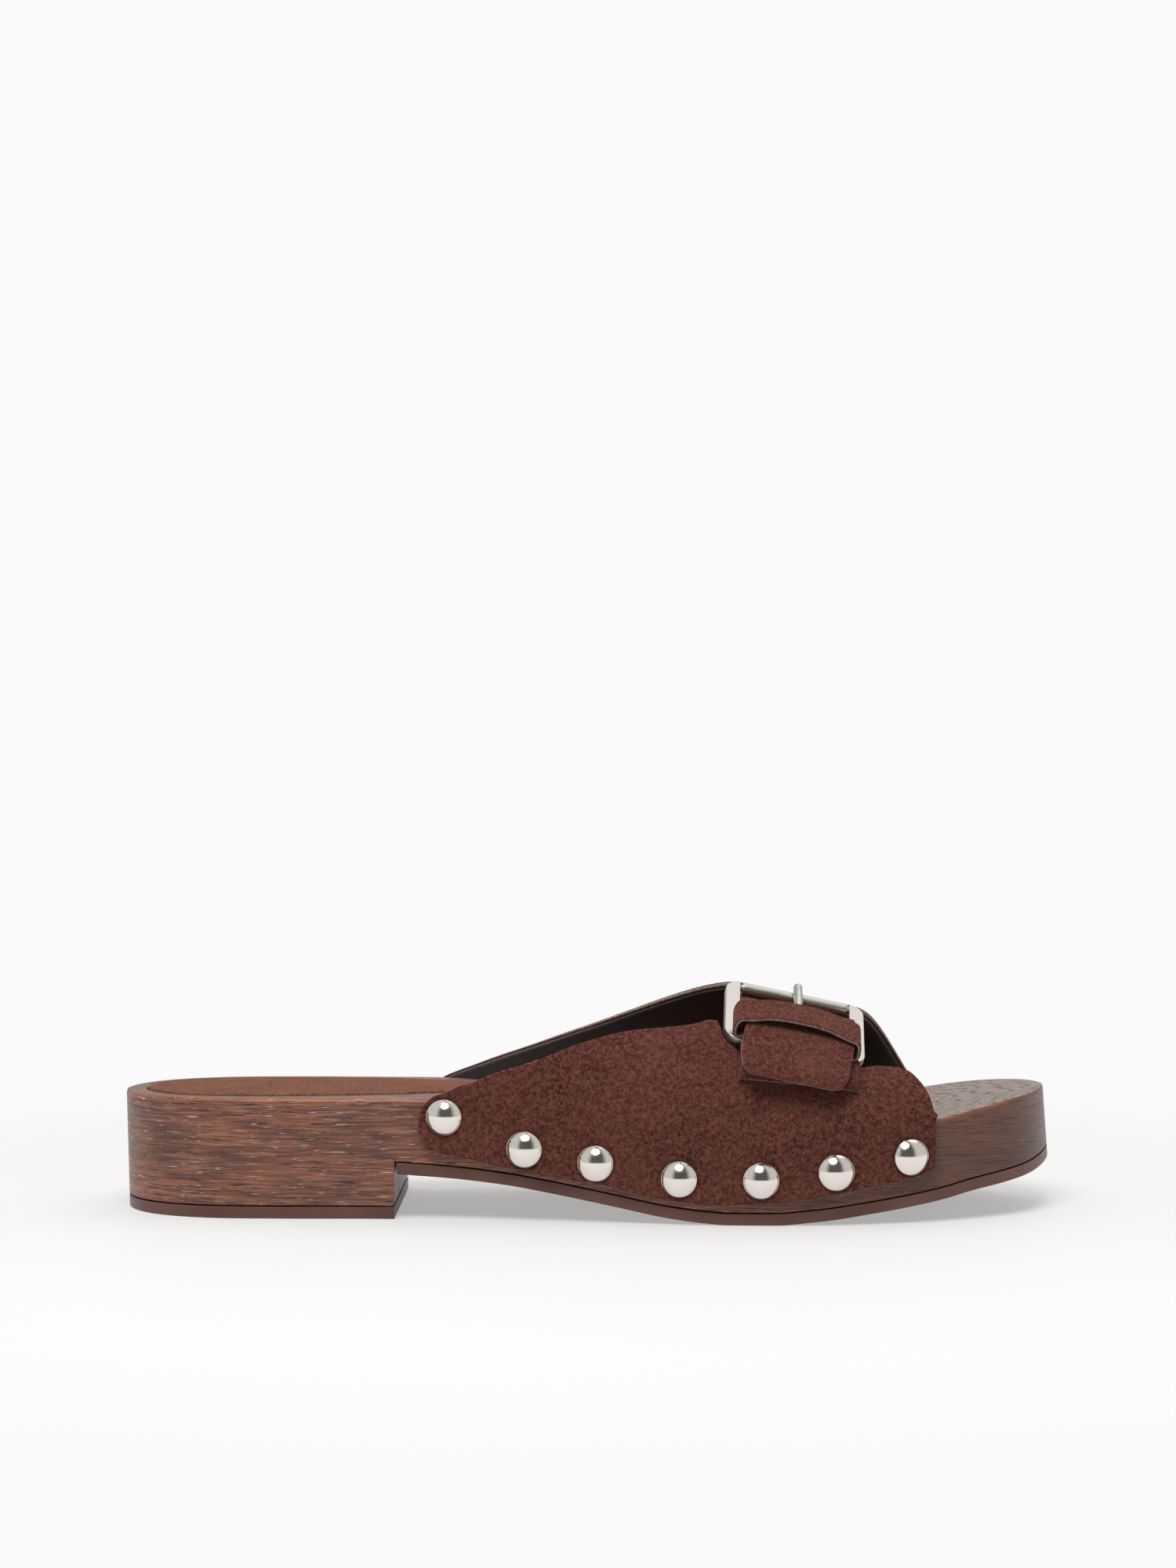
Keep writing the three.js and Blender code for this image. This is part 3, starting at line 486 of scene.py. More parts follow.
def sole_bottom(x):
    if x <= HEEL_BLOCK:
        return LIFT_THICKNESS + GLUE_LINE + 0.5 * smooth_step(x, HEEL_BLOCK - 0.5, HEEL_BLOCK)
    return wood_underside(x)


PAD_BACK_MARGIN = 5.8
PAD_LENGTH = 91.2
PAD_WIDTH = 46.6
PAD_SIDE_GAP = 0.4
PAD_PROUD = 0.5
PAD_FOAM = 2
PAD_COVER = 1.3
PAD_STATIONS = [
    (0, 0), (0.03, 0.47), (0.123, 0.837), (0.287, 1), (0.507, 0.98), (0.704, 0.87),
    (0.857, 0.67), (0.955, 0.38), (1, 0),
]
PAD_FLOOR = HEEL_SEAT_HEIGHT + PAD_PROUD - 2 * GLUE_LINE - PAD_FOAM - PAD_COVER


def pad_outline(grow):
    half = [(PAD_BACK_MARGIN - grow + u * (PAD_LENGTH + 2 * grow), v * (PAD_WIDTH / 2 + grow))
            for u, v in PAD_STATIONS]
    return smooth_line([*half, *[(x, -y) for x, y in half[-2:0:-1]]], 12, closed=True)


def prism(outline_points, low, high):
    """Points and faces of an upright block over a closed outline."""
    count = len(outline_points)
    points = [(x, y, z) for z in (low, high) for x, y in outline_points]
    faces = [tuple(range(count)), tuple(range(count, 2 * count))]
    faces += [(i, (i + 1) % count, (i + 1) % count + count, i + count) for i in range(count)]
    return points, faces


LEATHER_OUT = 2.5
SHANK_RADIUS = 1
SHANK_LENGTH = 10
HOLE_GAP = 0.3
LATERAL_NAILS = [
    (87.8, 4.1), (108.8, 9.7), (127.2, 10.1), (148.7, 11.3), (169.4, 10), (188.5, 9.1), (207.6, 8.2)]
MEDIAL_NAILS = [
    (88.5, 4.3), (109, 9.6), (130, 10.4), (151, 11.2), (172, 10), (192, 9.2), (212, 8.2)]


def nail_spots(side, rows):
    return [(np.array([x, side * edge_at(x, side), top_edge(x) - depth]), wall_normal(x, side))
            for x, depth in rows]


lateral_spots = nail_spots(LATERAL, LATERAL_NAILS)
medial_spots = nail_spots(MEDIAL, MEDIAL_NAILS)


def turned(profile, spot, outward, count):
    """Points and faces of a (radius, height) profile turned about the line out of a spot."""
    along_line = np.array(outward, float)
    side = np.cross(along_line, (0, 0, 1))
    side /= np.linalg.norm(side)
    other = np.cross(along_line, side)
    points = []
    for radius, height in profile:
        for k in range(count):
            turn = 2 * math.pi * k / count
            spoke = side * math.cos(turn) + other * math.sin(turn)
            points.append(spot + along_line * height + radius * spoke)
    return points, ring_faces(len(profile), count)


def nail_holes(spots, depth):
    """The holes for the nails' shanks, through the leather and this deep into the wood."""
    points, faces = [], []
    radius = SHANK_RADIUS + HOLE_GAP
    for spot, outward in spots:
        profile = [(0, -depth), (radius, -depth), (radius, LEATHER_OUT + 1), (0, LEATHER_OUT + 1)]
        more, these = turned(profile, spot, outward, 16)
        faces += [tuple(k + len(points) for k in face) for face in these]
        points += more
    return points, faces


def cut_away(piece, points, faces):
    """Cuts a closed shape, given in millimetres, out of a piece."""
    tool = bpy.data.objects.new("tool", mesh_of("tool", to_row(points), faces))
    scene.collection.objects.link(tool)
    cut = piece.modifiers.new("cut", "BOOLEAN")
    cut.object = tool
    cut.solver = "EXACT"
    bpy.context.view_layer.update()
    shape = bpy.data.meshes.new_from_object(piece.evaluated_get(bpy.context.evaluated_depsgraph_get()))
    piece.modifiers.clear()
    piece.data = shape
    bpy.data.objects.remove(tool)


stations = end_spaced(0.004, SOLE_LENGTH - 0.01, 230)
stations = sorted([*stations, HEEL_BLOCK - 0.5, HEEL_BLOCK - 0.25, HEEL_BLOCK, HEEL_BLOCK + 0.01])
sole = link_mesh(
    "sole_carved",
    loft("sole_carved", stations, sole_bottom, top_edge, 0.4, 0.9),
    wood_material(),
)
cut_away(sole, *prism(pad_outline(PAD_SIDE_GAP), PAD_FLOOR, TOE_HEIGHT + 5))
cut_away(sole, *nail_holes([*lateral_spots, *medial_spots], SHANK_LENGTH + 1))
thin = sole.data.attributes.new("thin_stain", "FLOAT", "POINT")
for vertex, value in zip(sole.data.vertices, thin.data):
    x, y, z = np.array(vertex.co) / MM - SHIFT
    edge = abs(z - top_edge(x) + 0.5)
    rim = min(abs(y + edge_at(x, LATERAL)), abs(y - edge_at(x, MEDIAL)))
    uneven = 0.35 + 0.65 * noise.noise((x / 9, 0, y / 40))
    value.value = max(0, 1 - edge / 0.75) * max(0, 1 - rim / 1.2) * uneven
sharpen(sole, 50)
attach(sole, "root")
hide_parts("wooden_sole")

# ---------------------------------------------------------------- heel lift and forefoot outsole
# Two pieces of brown moulded rubber, trimmed flush with the wood and glued under it: a flat lift
# under the heel block and a 3 mm outsole that follows the rocker of the forefoot.
def rubber_material():
    material, tree, shader = new_material("sole_rubber")
    place = object_place(tree)
    grain, cloud = mottle(tree, place, 1500.0, 3.0), mottle(tree, place, 60.0, 3.0)
    colour = mix_colours(tree, ramp(tree, cloud, [(0.35, 0.0), (0.65, 1.0)]),
                         (0.080, 0.030, 0.022), (0.125, 0.048, 0.034))
    tree.links.new(colour, shader.inputs["Base Color"])
    tree.links.new(ramp(tree, grain, [(0.3, 0.34), (0.7, 0.5)]), shader.inputs["Roughness"])
    roughen(tree, shader, grain, 0.25, 0.0001)
    return material


rubber = rubber_material()
lift = link_mesh(
    "heel_lift_trimmed",
    loft("heel_lift_trimmed", end_spaced(0.004, 2 * HEEL_BLOCK, 120)[:61],
         lambda x: 0, lambda x: LIFT_THICKNESS, 0.35, 0.12),
    rubber,
)
outsole = link_mesh(
    "outsole_trimmed",
    loft("outsole_trimmed",
         [x for x in end_spaced(-100, SOLE_LENGTH - 0.01, 230) if x > HEEL_BLOCK + GLUE_LINE],
         underside, lambda x: underside(x) + OUTSOLE_THICKNESS, 0.3, 0.12),
    rubber,
)
for piece, cad_node in ((lift, "heel_lift"), (outsole, "forefoot_outsole")):
    sharpen(piece, 50)
    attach(piece, "root")
    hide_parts(cad_node)

# ---------------------------------------------------------------- heel pad
# A thin foam sheet and a suede cover, die cut to one outline and glued into a shallow recess in the
# heel seat. The cover stands a little proud, crowned over the foam, with a soft raw edge.
def suede_material(name, dark, mid, pale, sheen, blotch=90.0):
    """Suede: short nap in patches brushed one way and the other, dark, mid and pale."""
    material, tree, shader = new_material(name)
    place = object_place(tree)
    brushed = mottle(tree, place, blotch, 3.0)
    nap = mottle(tree, place, 2100.0, 2.0, 0.6)
    tufts = mottle(tree, place, 900.0, 4.0, 0.7)
    patch = mix_colours(tree, ramp(tree, brushed, [(0.3, 0.0), (0.7, 1.0)]), dark, mid)
    fibre = maths(tree, "MULTIPLY_ADD", tufts, 0.6, maths(tree, "MULTIPLY", nap, 0.4))
    light = ramp(tree, fibre, [(0.42, 0.0), (0.62, 0.85)])
    tree.links.new(mix_colours(tree, light, patch, pale), shader.inputs["Base Color"])
    shader.inputs["Roughness"].default_value = 0.95
    shader.inputs["Specular IOR Level"].default_value = 0.06
    shader.inputs["Sheen Weight"].default_value = sheen
    shader.inputs["Sheen Roughness"].default_value = 0.5
    shader.inputs["Sheen Tint"].default_value = (1.0, 0.6, 0.5, 1)
    roughen(tree, shader, fibre, 0.9, 0.00035)
    return material


def domed_pad(name, grow, low, thickness, crown, edge_round, nap):
    """A pad over its outline: rings from a rounded edge in to the spine, crowned towards it."""
    line = pad_outline(grow)
    spine = np.array([(min(max(x, 32), 68), 0.0) for x, _ in line])
    arms = np.linalg.norm(line - spine, axis=1)
    inset = [0, 0.08, 0.25, 0.5, 0.8, 1.2, 1.8, 2.6, 3.8]
    rings = [1 - np.minimum(d / arms, 0.5) for d in inset] + [
        np.full(len(line), s) for s in np.linspace(0.78, 0, 15)]
    points, faces = [], []
    for share in rings:
        for (x, y), (sx, sy), s, arm in zip(line, spine, share, arms):
            d = arm * (1 - s)
            fall = edge_round - math.sqrt(max(edge_round ** 2 - max(edge_round - d, 0) ** 2, 0))
            z = low + thickness - fall + crown * (1 - math.exp(-d / 5))
            px, py = sx + (x - sx) * s, sy + (y - sy) * s
            points.append((px, py, z + nap * noise.noise((px * 1.6, py * 1.6, 3))))
    top = len(points)
    points += [(px, py, low) for px, py, _ in points[:top]]
    count = len(line)
    for face in ring_faces(len(rings), count):
        faces += [face, tuple(v + top for v in reversed(face))]
    faces += [(j, (j + 1) % count, (j + 1) % count + top, j + top) for j in range(count)]
    return mesh_of(name, to_row(points), faces)


foam_low = PAD_FLOOR + GLUE_LINE
cover_low = foam_low + PAD_FOAM + GLUE_LINE
foam_material, foam_tree, foam_shader = new_material("pad_foam")
foam_cells = node(foam_tree, "ShaderNodeTexVoronoi", {
    "Vector": object_place(foam_tree), "Scale": 1800.0}).outputs["Distance"]
foam_colour = ramp(foam_tree, foam_cells, [(0.1, (0.66, 0.58, 0.44)), (0.6, (0.72, 0.65, 0.51))])
foam_tree.links.new(foam_colour, foam_shader.inputs["Base Color"])
foam_shader.inputs["Roughness"].default_value = 0.9
roughen(foam_tree, foam_shader, foam_cells, 0.6, 0.0002)
foam = link_mesh(
    "heel_pad_foam_sheet",
    domed_pad("heel_pad_foam_sheet", -0.8, foam_low, PAD_FOAM, 0, 0.3, 0.02),
    foam_material,
)
cover = link_mesh(
    "heel_pad_suede",
    domed_pad("heel_pad_suede", 0, cover_low, PAD_COVER, 0.25, 0.55, 0.05),
    suede_material("pad_suede", (0.085, 0.030, 0.017), (0.14, 0.053, 0.031), (0.24, 0.11, 0.070), 0.08),
)
for piece, cad_node, slot, fill in (
    (foam, "heel_pad_foam", "pad_foam", 0.9), (cover, "heel_pad_cover", "pad_suede", 0.7),
):
    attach(piece, "root")
    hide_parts(cad_node)

# ---------------------------------------------------------------- outer panel: lining and suede
# The lateral upper is a suede panel bonded to a thin black lining, wrapped from the wall of the
# sole up over the foot. Its top edge dips under the buckle, and its edges are raw and a little fuzzy.
LINING_IN, LINING_OUT = 0.3, 0.9
SUEDE_IN = 1.1
LATERAL_CROWN = 56
MEDIAL_CROWN = 58
INSTEP_FALL = 0.21


def crown_at(x, crown):
    return crown - INSTEP_FALL * (x - 165)


def arch_point(x, z, side, crown):
    """The surface the leather follows: the sole's wall, then a quarter ellipse up to the instep."""
    rise = max(0, z - top_edge(x)) / (crown_at(x, crown) - top_edge(x))
    return np.array([x, side * edge_at(x, side) * math.sqrt(max(0, 1 - rise * rise)), z])


lower_margin = smooth_table([
    (81, 9.4), (81.4, 7.4), (82.2, 5.8), (83.8, 4.1), (87.5, 3.2), (95, 2.4), (104, 1.5),
    (115, 1.3), (128, 2), (142, 1.6), (152, 1.8), (167, 2.4), (183, 3.2), (198, 4), (207, 4.4),
    (212, 5), (214, 6.2)])


def lower_edge(x):
    return wood_underside(x) + lower_margin(x)


# The buckle's own frame: a across it, b up towards the roller, n out of the foot, from the middle
# of the heel bar.
TILT = math.radians(12)
TURN = math.radians(2.8)
BUCKLE_STATION = 178.4
BUCKLE_RISE = 20.8
ROLLER_INSET = 12
ROLLER_SINK = 1.3
FRAME_LENGTH = 24.4
FRAME_INNER = 29.8
FRAME_SIDE = 3.9
FRAME_HALF = FRAME_INNER / 2 + FRAME_SIDE
FOLD_GAP = 1.1
TAB_WIDTH = 30.6
PANEL_REACH = 18
across = np.array([math.cos(TILT) * math.cos(TURN), math.sin(TURN), -math.sin(TILT) * math.cos(TURN)])
bar_base = arch_point(BUCKLE_STATION, top_edge(BUCKLE_STATION) + BUCKLE_RISE, LATERAL, LATERAL_CROWN)
roller_aim = np.array([
    BUCKLE_STATION, -ROLLER_INSET, crown_at(BUCKLE_STATION, MEDIAL_CROWN) + LEATHER_OUT - ROLLER_SINK])


def square_to_bar(direction):
    direction = direction - across * direction.dot(across)
    return direction / np.linalg.norm(direction)


heel_bar = bar_base + np.cross(across, square_to_bar(roller_aim - bar_base)) * LEATHER_OUT / 2
up = square_to_bar(roller_aim - heel_bar)
out = np.cross(across, up)


def from_buckle(a, b, n):
    return heel_bar + across * a + up * b + out * n


def in_buckle(p):
    return np.array([(p - heel_bar).dot(d) for d in (across, up, out)])


panel_tables = []
for place in np.linspace(-PANEL_REACH, PANEL_REACH, 7):
    level = from_buckle(place, 0, 0)
    panel_tables.append(smooth_table([
        tuple(in_buckle(arch_point(level[0], z, LATERAL, LATERAL_CROWN))[1:])
        for z in np.linspace(level[2] - PANEL_REACH, level[2] + 2, 13)]))


def panel_at(a, b):
    """How far out the lateral panel's surface lies, at a and b in the buckle's frame."""
    t = (a + PANEL_REACH) / (2 * PANEL_REACH) * (len(panel_tables) - 1)
    i = min(int(t), len(panel_tables) - 2)
    return panel_tables[i](b) + (panel_tables[i + 1](b) - panel_tables[i](b)) * (t - i)


def off_panel(a, b, distance):
    slope = panel_at(a, b + 0.5) - panel_at(a, b - 0.5)
    return panel_at(a, b) + distance * math.hypot(1, slope)


def highest_off_panel(b, distance):
    return max(off_panel(a, b, distance) for a in np.linspace(-TAB_WIDTH / 2, TAB_WIDTH / 2, 5))


def dip_at(a):
    b = -FOLD_GAP - LEATHER_OUT
    return from_buckle(a, b, panel_at(a, b))


dip = dip_at(0)
dip_rear, dip_front = dip_at(-TAB_WIDTH / 2), dip_at(TAB_WIDTH / 2)
dip_half = math.cos(TILT) * (FRAME_HALF + 0.45)
DIP_ROUND = 0.8
lateral_rear = smooth_table([
    (81, -6.6), (81.4, -3.4), (82.2, -1.4), (83.8, 0.2), (84.8, 1), (87.5, 2), (91.6, 4.1),
    (96, 5.7), (100.5, 7.9), (107.8, 11.1), (116.3, 15.1), (120.4, 17.3), (131.3, 22),
    (136.8, 23.5), (145, 24.8), (152.7, 26.2), (156, 27.3)])
lateral_front = smooth_table([
    (196, 14.6), (202, 13.6), (207.5, 11.8), (210, 9.6), (212.5, 5.8), (213.7, 1.5), (214, -6)])


def on_panel(a, b):
    """Where along the clog and how high the panel's surface passes a and b of the buckle's frame."""
    level = from_buckle(a, 0, 0)
    heights = np.linspace(level[2] - 8, level[2] + 12, 60)
    passed = [in_buckle(arch_point(level[0], z, LATERAL, LATERAL_CROWN))[1] for z in heights]
    return level[0], np.interp(b, passed, heights)


corner_edge = smooth_table([on_panel(a, b) for a, b in (
    (-21.8, 9.5), (-20.6, 7), (-19.9, 5), (-19.45, 3.2), (-19, 1.3), (-18, -0.4), (-16.9, -1.3),
    (-15.9, -1.8), (-15.4, -2.6), (-14.9, -3.4), (-14, -3.65))])
corner_from = on_panel(-21.8, 9.5)[0]
corner_to = on_panel(-14, -3.6)[0]


def lateral_top(x):
    """The panel's top edge, cut to pass under the buckle with small rounded corners."""
    if corner_from < x < corner_to:
        return min(top_edge(x) + lateral_rear(x), corner_edge(x))
    share = (x - dip_rear[0]) / (dip_front[0] - dip_rear[0])
    under_buckle = dip_rear[2] + (dip_front[2] - dip_rear[2]) * share
    beside = top_edge(x) + (lateral_rear(x) if x < dip[0] else lateral_front(x))
    step = smooth_step(-abs(x - dip[0]), -dip_half - DIP_ROUND, -dip_half + DIP_ROUND)
    return beside + (under_buckle - beside) * step


EDGE_STEPS = [0, 0.1, 0.25, 0.45]


def respaced(grid, step):
    """The grid's rows spaced evenly along it, and closer at its two ends."""
    lengths = np.linalg.norm(np.diff(grid, axis=0), axis=2).mean(axis=1)
    places = np.concatenate([[0], np.cumsum(lengths)])
    total = places[-1]
    wanted = [*EDGE_STEPS, *np.linspace(EDGE_STEPS[-1], total - EDGE_STEPS[-1], int(total / step))[1:-1],
              *(total - e for e in reversed(EDGE_STEPS))]
    index = np.clip(np.searchsorted(places, wanted, side="right") - 1, 0, len(places) - 2)
    share = (np.array(wanted) - places[index]) / (places[index + 1] - places[index])
    return grid[index] * (1 - share)[:, None, None] + grid[index + 1] * share[:, None, None]


def rolled(grid, shift, closed):
    if closed:
        return np.roll(grid, -shift, axis=1)
    columns = np.clip(np.arange(grid.shape[1]) + shift, 0, grid.shape[1] - 1)
    return grid[:, columns]


def edge_distance(grid, closed):
    """How far each point of the grid lies from its nearest edge."""
    rows = np.linalg.norm(np.diff(grid, axis=0), axis=2)
    down = np.vstack([np.zeros((1, grid.shape[1])), np.cumsum(rows, axis=0)])
    near = np.minimum(down, down[-1] - down)
    if not closed:
        columns = np.linalg.norm(np.diff(grid, axis=1), axis=2)
        over = np.hstack([np.zeros((grid.shape[0], 1)), np.cumsum(columns, axis=1)])
        near = np.minimum(near, np.minimum(over, over[:, -1:] - over))
    return near


def leather(name, grid, inner, outer, face, core, closed=False, nap=0.0, fuzz=0.0, spots=(), dent=0.0):
    """A sheet between two offsets of a grid, with softened rims. The rim is a material of its own."""
    rows, columns = grid.shape[:2]
    down = np.concatenate([grid[1:], grid[-1:]]) - np.concatenate([grid[:1], grid[:-1]])
    normal = np.cross(down, rolled(grid, 1, closed) - rolled(grid, -1, closed))
    normal /= np.maximum(np.linalg.norm(normal, axis=2, keepdims=True), 1e-9)
    near = edge_distance(grid, closed)
    soft = min(0.35, (outer - inner) * 0.3)
    reach = np.clip(soft - near, 0, soft)
    fall = soft - np.sqrt(soft ** 2 - reach ** 2)
    high = outer - fall
    for spot, outward in spots:
        gap = grid - spot
        off_line = np.linalg.norm(gap - (gap @ outward)[..., None] * outward, axis=2)
        high = high - dent * np.exp(-(np.maximum(off_line - 4.4, 0) / 1.4) ** 2)
    low = inner + fall
    ragged = np.zeros(grid.shape[:2])
    if nap or fuzz:
        for i in range(rows):
            for j in range(columns):
                x, y, z = grid[i, j]
                ragged[i, j] = (noise.noise((x * 1.7, y * 1.7, z * 1.7))
                                + 0.5 * noise.noise((x * 4.1, y * 4.1, z * 4.1)))
    high = high + nap * ragged * np.clip(near / 0.3, 0.3, 1)
    layers = [grid + normal * h[..., None] for h in (high, low)]
    points = [p for layer in layers for row in layer for p in row]
    size = rows * columns
    faces = []
    last = columns if closed else columns - 1
    for i in range(rows - 1):
        for j in range(last):
            k = (j + 1) % columns
            face_out = (i * columns + j, (i + 1) * columns + j, (i + 1) * columns + k, i * columns + k)
            faces.append(face_out)
            faces.append(tuple(v + size for v in reversed(face_out)))
    if closed:
        rims = [list(range(columns)), list(range((rows - 1) * columns, size))]
    else:
        rims = [[*range(columns), *(i * columns + columns - 1 for i in range(1, rows)),
                 *(size - 1 - j for j in range(1, columns)), *(i * columns for i in range(rows - 2, 0, -1))]]
    face_count = len(faces)
    for rim in rims:
        rings = [rim]
        for share in (0.3, 0.6):
            ring = []
            for v in rim:
                i, j = divmod(v, columns)
                beside = j if closed else min(max(j, 1), columns - 2)
                inward = grid[min(max(i, 1), rows - 2), beside] - grid[i, j]
                inward = inward / max(np.linalg.norm(inward), 1e-6)
                p = points[v] * (1 - share) + points[v + size] * share
                ring.append(len(points))
                points.append(p - inward * fuzz * (0.6 + ragged[i, j] * 1.6))
            rings.append(ring)
        rings.append([v + size for v in rim])
        for first, second in zip(rings, rings[1:]):
            for j in range(len(rim)):
                k = (j + 1) % len(rim)
                faces.append((first[j], first[k], second[k], second[j]))
    mesh = bpy.data.meshes.new(name)
    mesh.from_pydata([tuple(p) for p in to_row(points)], [], faces)
    mesh.polygons.foreach_set("material_index", [0] * face_count + [1] * (len(faces) - face_count))
    weld(mesh)
    return link_mesh(name, mesh, face, core)


def lining_material():
    material, tree, shader = new_material("lining_leather")
    place = object_place(tree)
    grain = node(tree, "ShaderNodeTexVoronoi", {
        "Vector": place, "Scale": 1500.0, "Randomness": 1.0}).outputs["Distance"]
    cloud = mottle(tree, place, 120.0, 3.0)
    colour = mix_colours(tree, cloud, (0.016, 0.013, 0.012), (0.036, 0.029, 0.026))
    tree.links.new(colour, shader.inputs["Base Color"])
    shader.inputs["Roughness"].default_value = 0.55
    roughen(tree, shader, grain, 0.35, 0.00015)
    return material


upper_suede = suede_material(
    "upper_suede", (0.031, 0.0085, 0.0060), (0.062, 0.0190, 0.0135), (0.165, 0.061, 0.046), 0.1, blotch=60.0)
suede_core = suede_material(
    "suede_core", (0.12, 0.085, 0.082), (0.19, 0.145, 0.14), (0.32, 0.26, 0.255), 0.15, blotch=300.0)
black_lining = lining_material()

lateral_columns = sorted([*np.linspace(81, 82, 8), *np.linspace(82.2, 86, 14), *np.linspace(86.3, 210, 280),
                          *np.linspace(210.3, 213, 16), *np.linspace(213.1, 214, 10)])
lateral_grid = np.array([
    [arch_point(x, z, LATERAL, LATERAL_CROWN) for z in np.linspace(lower_edge(x), lateral_top(x), 90)]
    for x in lateral_columns])
lateral_grid = respaced(np.swapaxes(lateral_grid, 0, 1), 0.65).swapaxes(0, 1)
lateral_upper = leather("lateral_suede", lateral_grid, SUEDE_IN, LEATHER_OUT, upper_suede, suede_core,
                        nap=0.07, fuzz=0.1, spots=lateral_spots, dent=0.4)
lateral_lining = leather("lateral_lining_skin", lateral_grid[2:-2, 3:-3], LINING_IN, LINING_OUT,
                         black_lining, black_lining)
for piece, cad_node, slot in ((lateral_upper, "lateral_upper", "upper_suede"),
                              (lateral_lining, "lateral_lining", "lining_leather")):
    cut_away(piece, *nail_holes(lateral_spots, 1))
    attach(piece, "root")
    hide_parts(cad_node)

# ---------------------------------------------------------------- inner panel and its strap
# The medial upper is cut in one piece with the strap: up the wall of the sole, over the instep,
# up through the buckle's frame and down over the heel bar to a tail with rounded corners.
STRAP_WIDTH = 28.7
STRAP_CORNER = 4
STRAP_TAIL = 15.5
STRAP_SHIFT = 0.25
TAIL_SWING, TAIL_SWING_OVER = -0.95, 9
TAIL_FALL = 0.32
ROLLER_RADIUS = 1.6
RUNNING_GAP = 0.35
PRONG_EYE_OUT = 3
TAB_THICKNESS = 1.2
KEEPER_THICKNESS = 1.1
KEEPER_WIDTH = 9.5
KEEPER_CENTRE = 1.7
KEEPER_LIFT = 0.65
PRONG_OFFSET = 0.3

TAB_TOP = highest_off_panel(KEEPER_CENTRE - KEEPER_WIDTH / 2, LEATHER_OUT + RUNNING_GAP + TAB_THICKNESS)
KEEPER_FLOOR = max(PRONG_EYE_OUT, TAB_TOP) + KEEPER_LIFT
STRAP_OVER = KEEPER_FLOOR + KEEPER_THICKNESS + RUNNING_GAP - LINING_IN
TAIL_FROM = KEEPER_CENTRE - KEEPER_WIDTH / 2 - 0.3
medial_rear = smooth_table([(0, 88), (0.12, 84.4), (0.3, 82.2), (0.6, 81.4), (1, 84)])
MEDIAL_COLUMNS = 150
STRAP_MIDDLE = 179.5
STRAP_SINK = 0.7
strap_half = STRAP_WIDTH / 2 * math.cos(TILT)


def wall_row(t):
    stations = np.linspace(medial_rear(t), 213.5 + 4.5 * t, MEDIAL_COLUMNS)
    return [(x, edge_at(x, MEDIAL), lower_edge(x) + (top_edge(x) - lower_edge(x)) * t) for x in stations]


def arch_row(angle):
    left = 1 - angle / 90
    rear = STRAP_MIDDLE - strap_half - 81 * left ** 1.9
    front = STRAP_MIDDLE + strap_half + 24.5 * left ** 0.8
    turn = math.radians(angle)
    return [(x, edge_at(x, MEDIAL) * math.cos(turn),
             top_edge(x) + (crown_at(x, MEDIAL_CROWN) - top_edge(x)) * math.sin(turn)
             - STRAP_SINK * smooth_step(angle, 55, 90))
            for x in np.linspace(rear, front, MEDIAL_COLUMNS)]


def tail_base(b):
    return STRAP_OVER + 0.05 + TAIL_FALL * (b - TAIL_FROM)


def strap_path():
    """The strap's line in the buckle's frame: under the roller, over the heel bar, to its tail."""
    crown_height = crown_at(STRAP_MIDDLE, MEDIAL_CROWN) - STRAP_SINK
    _, crown_b, crown_n = in_buckle(np.array([STRAP_MIDDLE, 0, crown_height]))
    under = -(ROLLER_RADIUS + RUNNING_GAP + LEATHER_OUT)
    over = STRAP_OVER
    drop, stretch = under - crown_n, crown_b - FRAME_LENGTH
    climb = [(0.83, 0.15), (0.7, 0.32), (0.57, 0.5), (0.45, 0.73)]
    return [
        (crown_b - 0.3 * stretch, crown_n + 0.68 * drop),
        (crown_b - 0.64 * stretch, crown_n + 0.95 * drop),
        (FRAME_LENGTH, under),
        *((share * FRAME_LENGTH, under + (over - under) * rise) for share, rise in climb),
        (0.33 * FRAME_LENGTH, over - 0.5),
        (KEEPER_CENTRE + KEEPER_WIDTH / 2 + 0.2, over),
        (0, over),
        *((b, tail_base(b)) for b in (TAIL_FROM, -5, -8.5, -11.5, -13.2)),
        (-14.5, tail_base(-14.5) - 0.585),
        (-STRAP_TAIL, tail_base(-STRAP_TAIL) - 1.3),
    ]


def strap_row(b, n):
    left = max(0, STRAP_CORNER - (b + STRAP_TAIL))
    half = STRAP_WIDTH / 2 - STRAP_CORNER + math.sqrt(max(STRAP_CORNER ** 2 - left ** 2, 0))
    shift = STRAP_SHIFT + TAIL_SWING * min(max(-b / TAIL_SWING_OVER, 0), 1)
    return [from_buckle(a + shift, b, n) for a in np.linspace(-half, half, MEDIAL_COLUMNS)]


path_points = smooth_line(strap_path(), 6)
medial_rows = [
    *(wall_row(t) for t in (0, 0.06, 0.12, 0.2, 0.3, 0.45, 0.6, 0.8)),
    *(arch_row(angle) for angle in np.linspace(0, 90, 19)),
    *(strap_row(b, n) for b, n in path_points),
]
flat_rows = smooth_line([np.array(row).ravel() for row in medial_rows], 5)
medial_grid = respaced(flat_rows.reshape(len(flat_rows), MEDIAL_COLUMNS, 3), 0.7)
medial_grid = respaced(medial_grid.swapaxes(0, 1), 0.75).swapaxes(0, 1)
medial_upper = leather("medial_suede", medial_grid, SUEDE_IN, LEATHER_OUT, upper_suede, suede_core,
                       nap=0.07, fuzz=0.1, spots=medial_spots, dent=0.4)
medial_lining = leather("medial_lining_skin", medial_grid[2:-2, 3:-3], LINING_IN, LINING_OUT,
                        black_lining, black_lining)

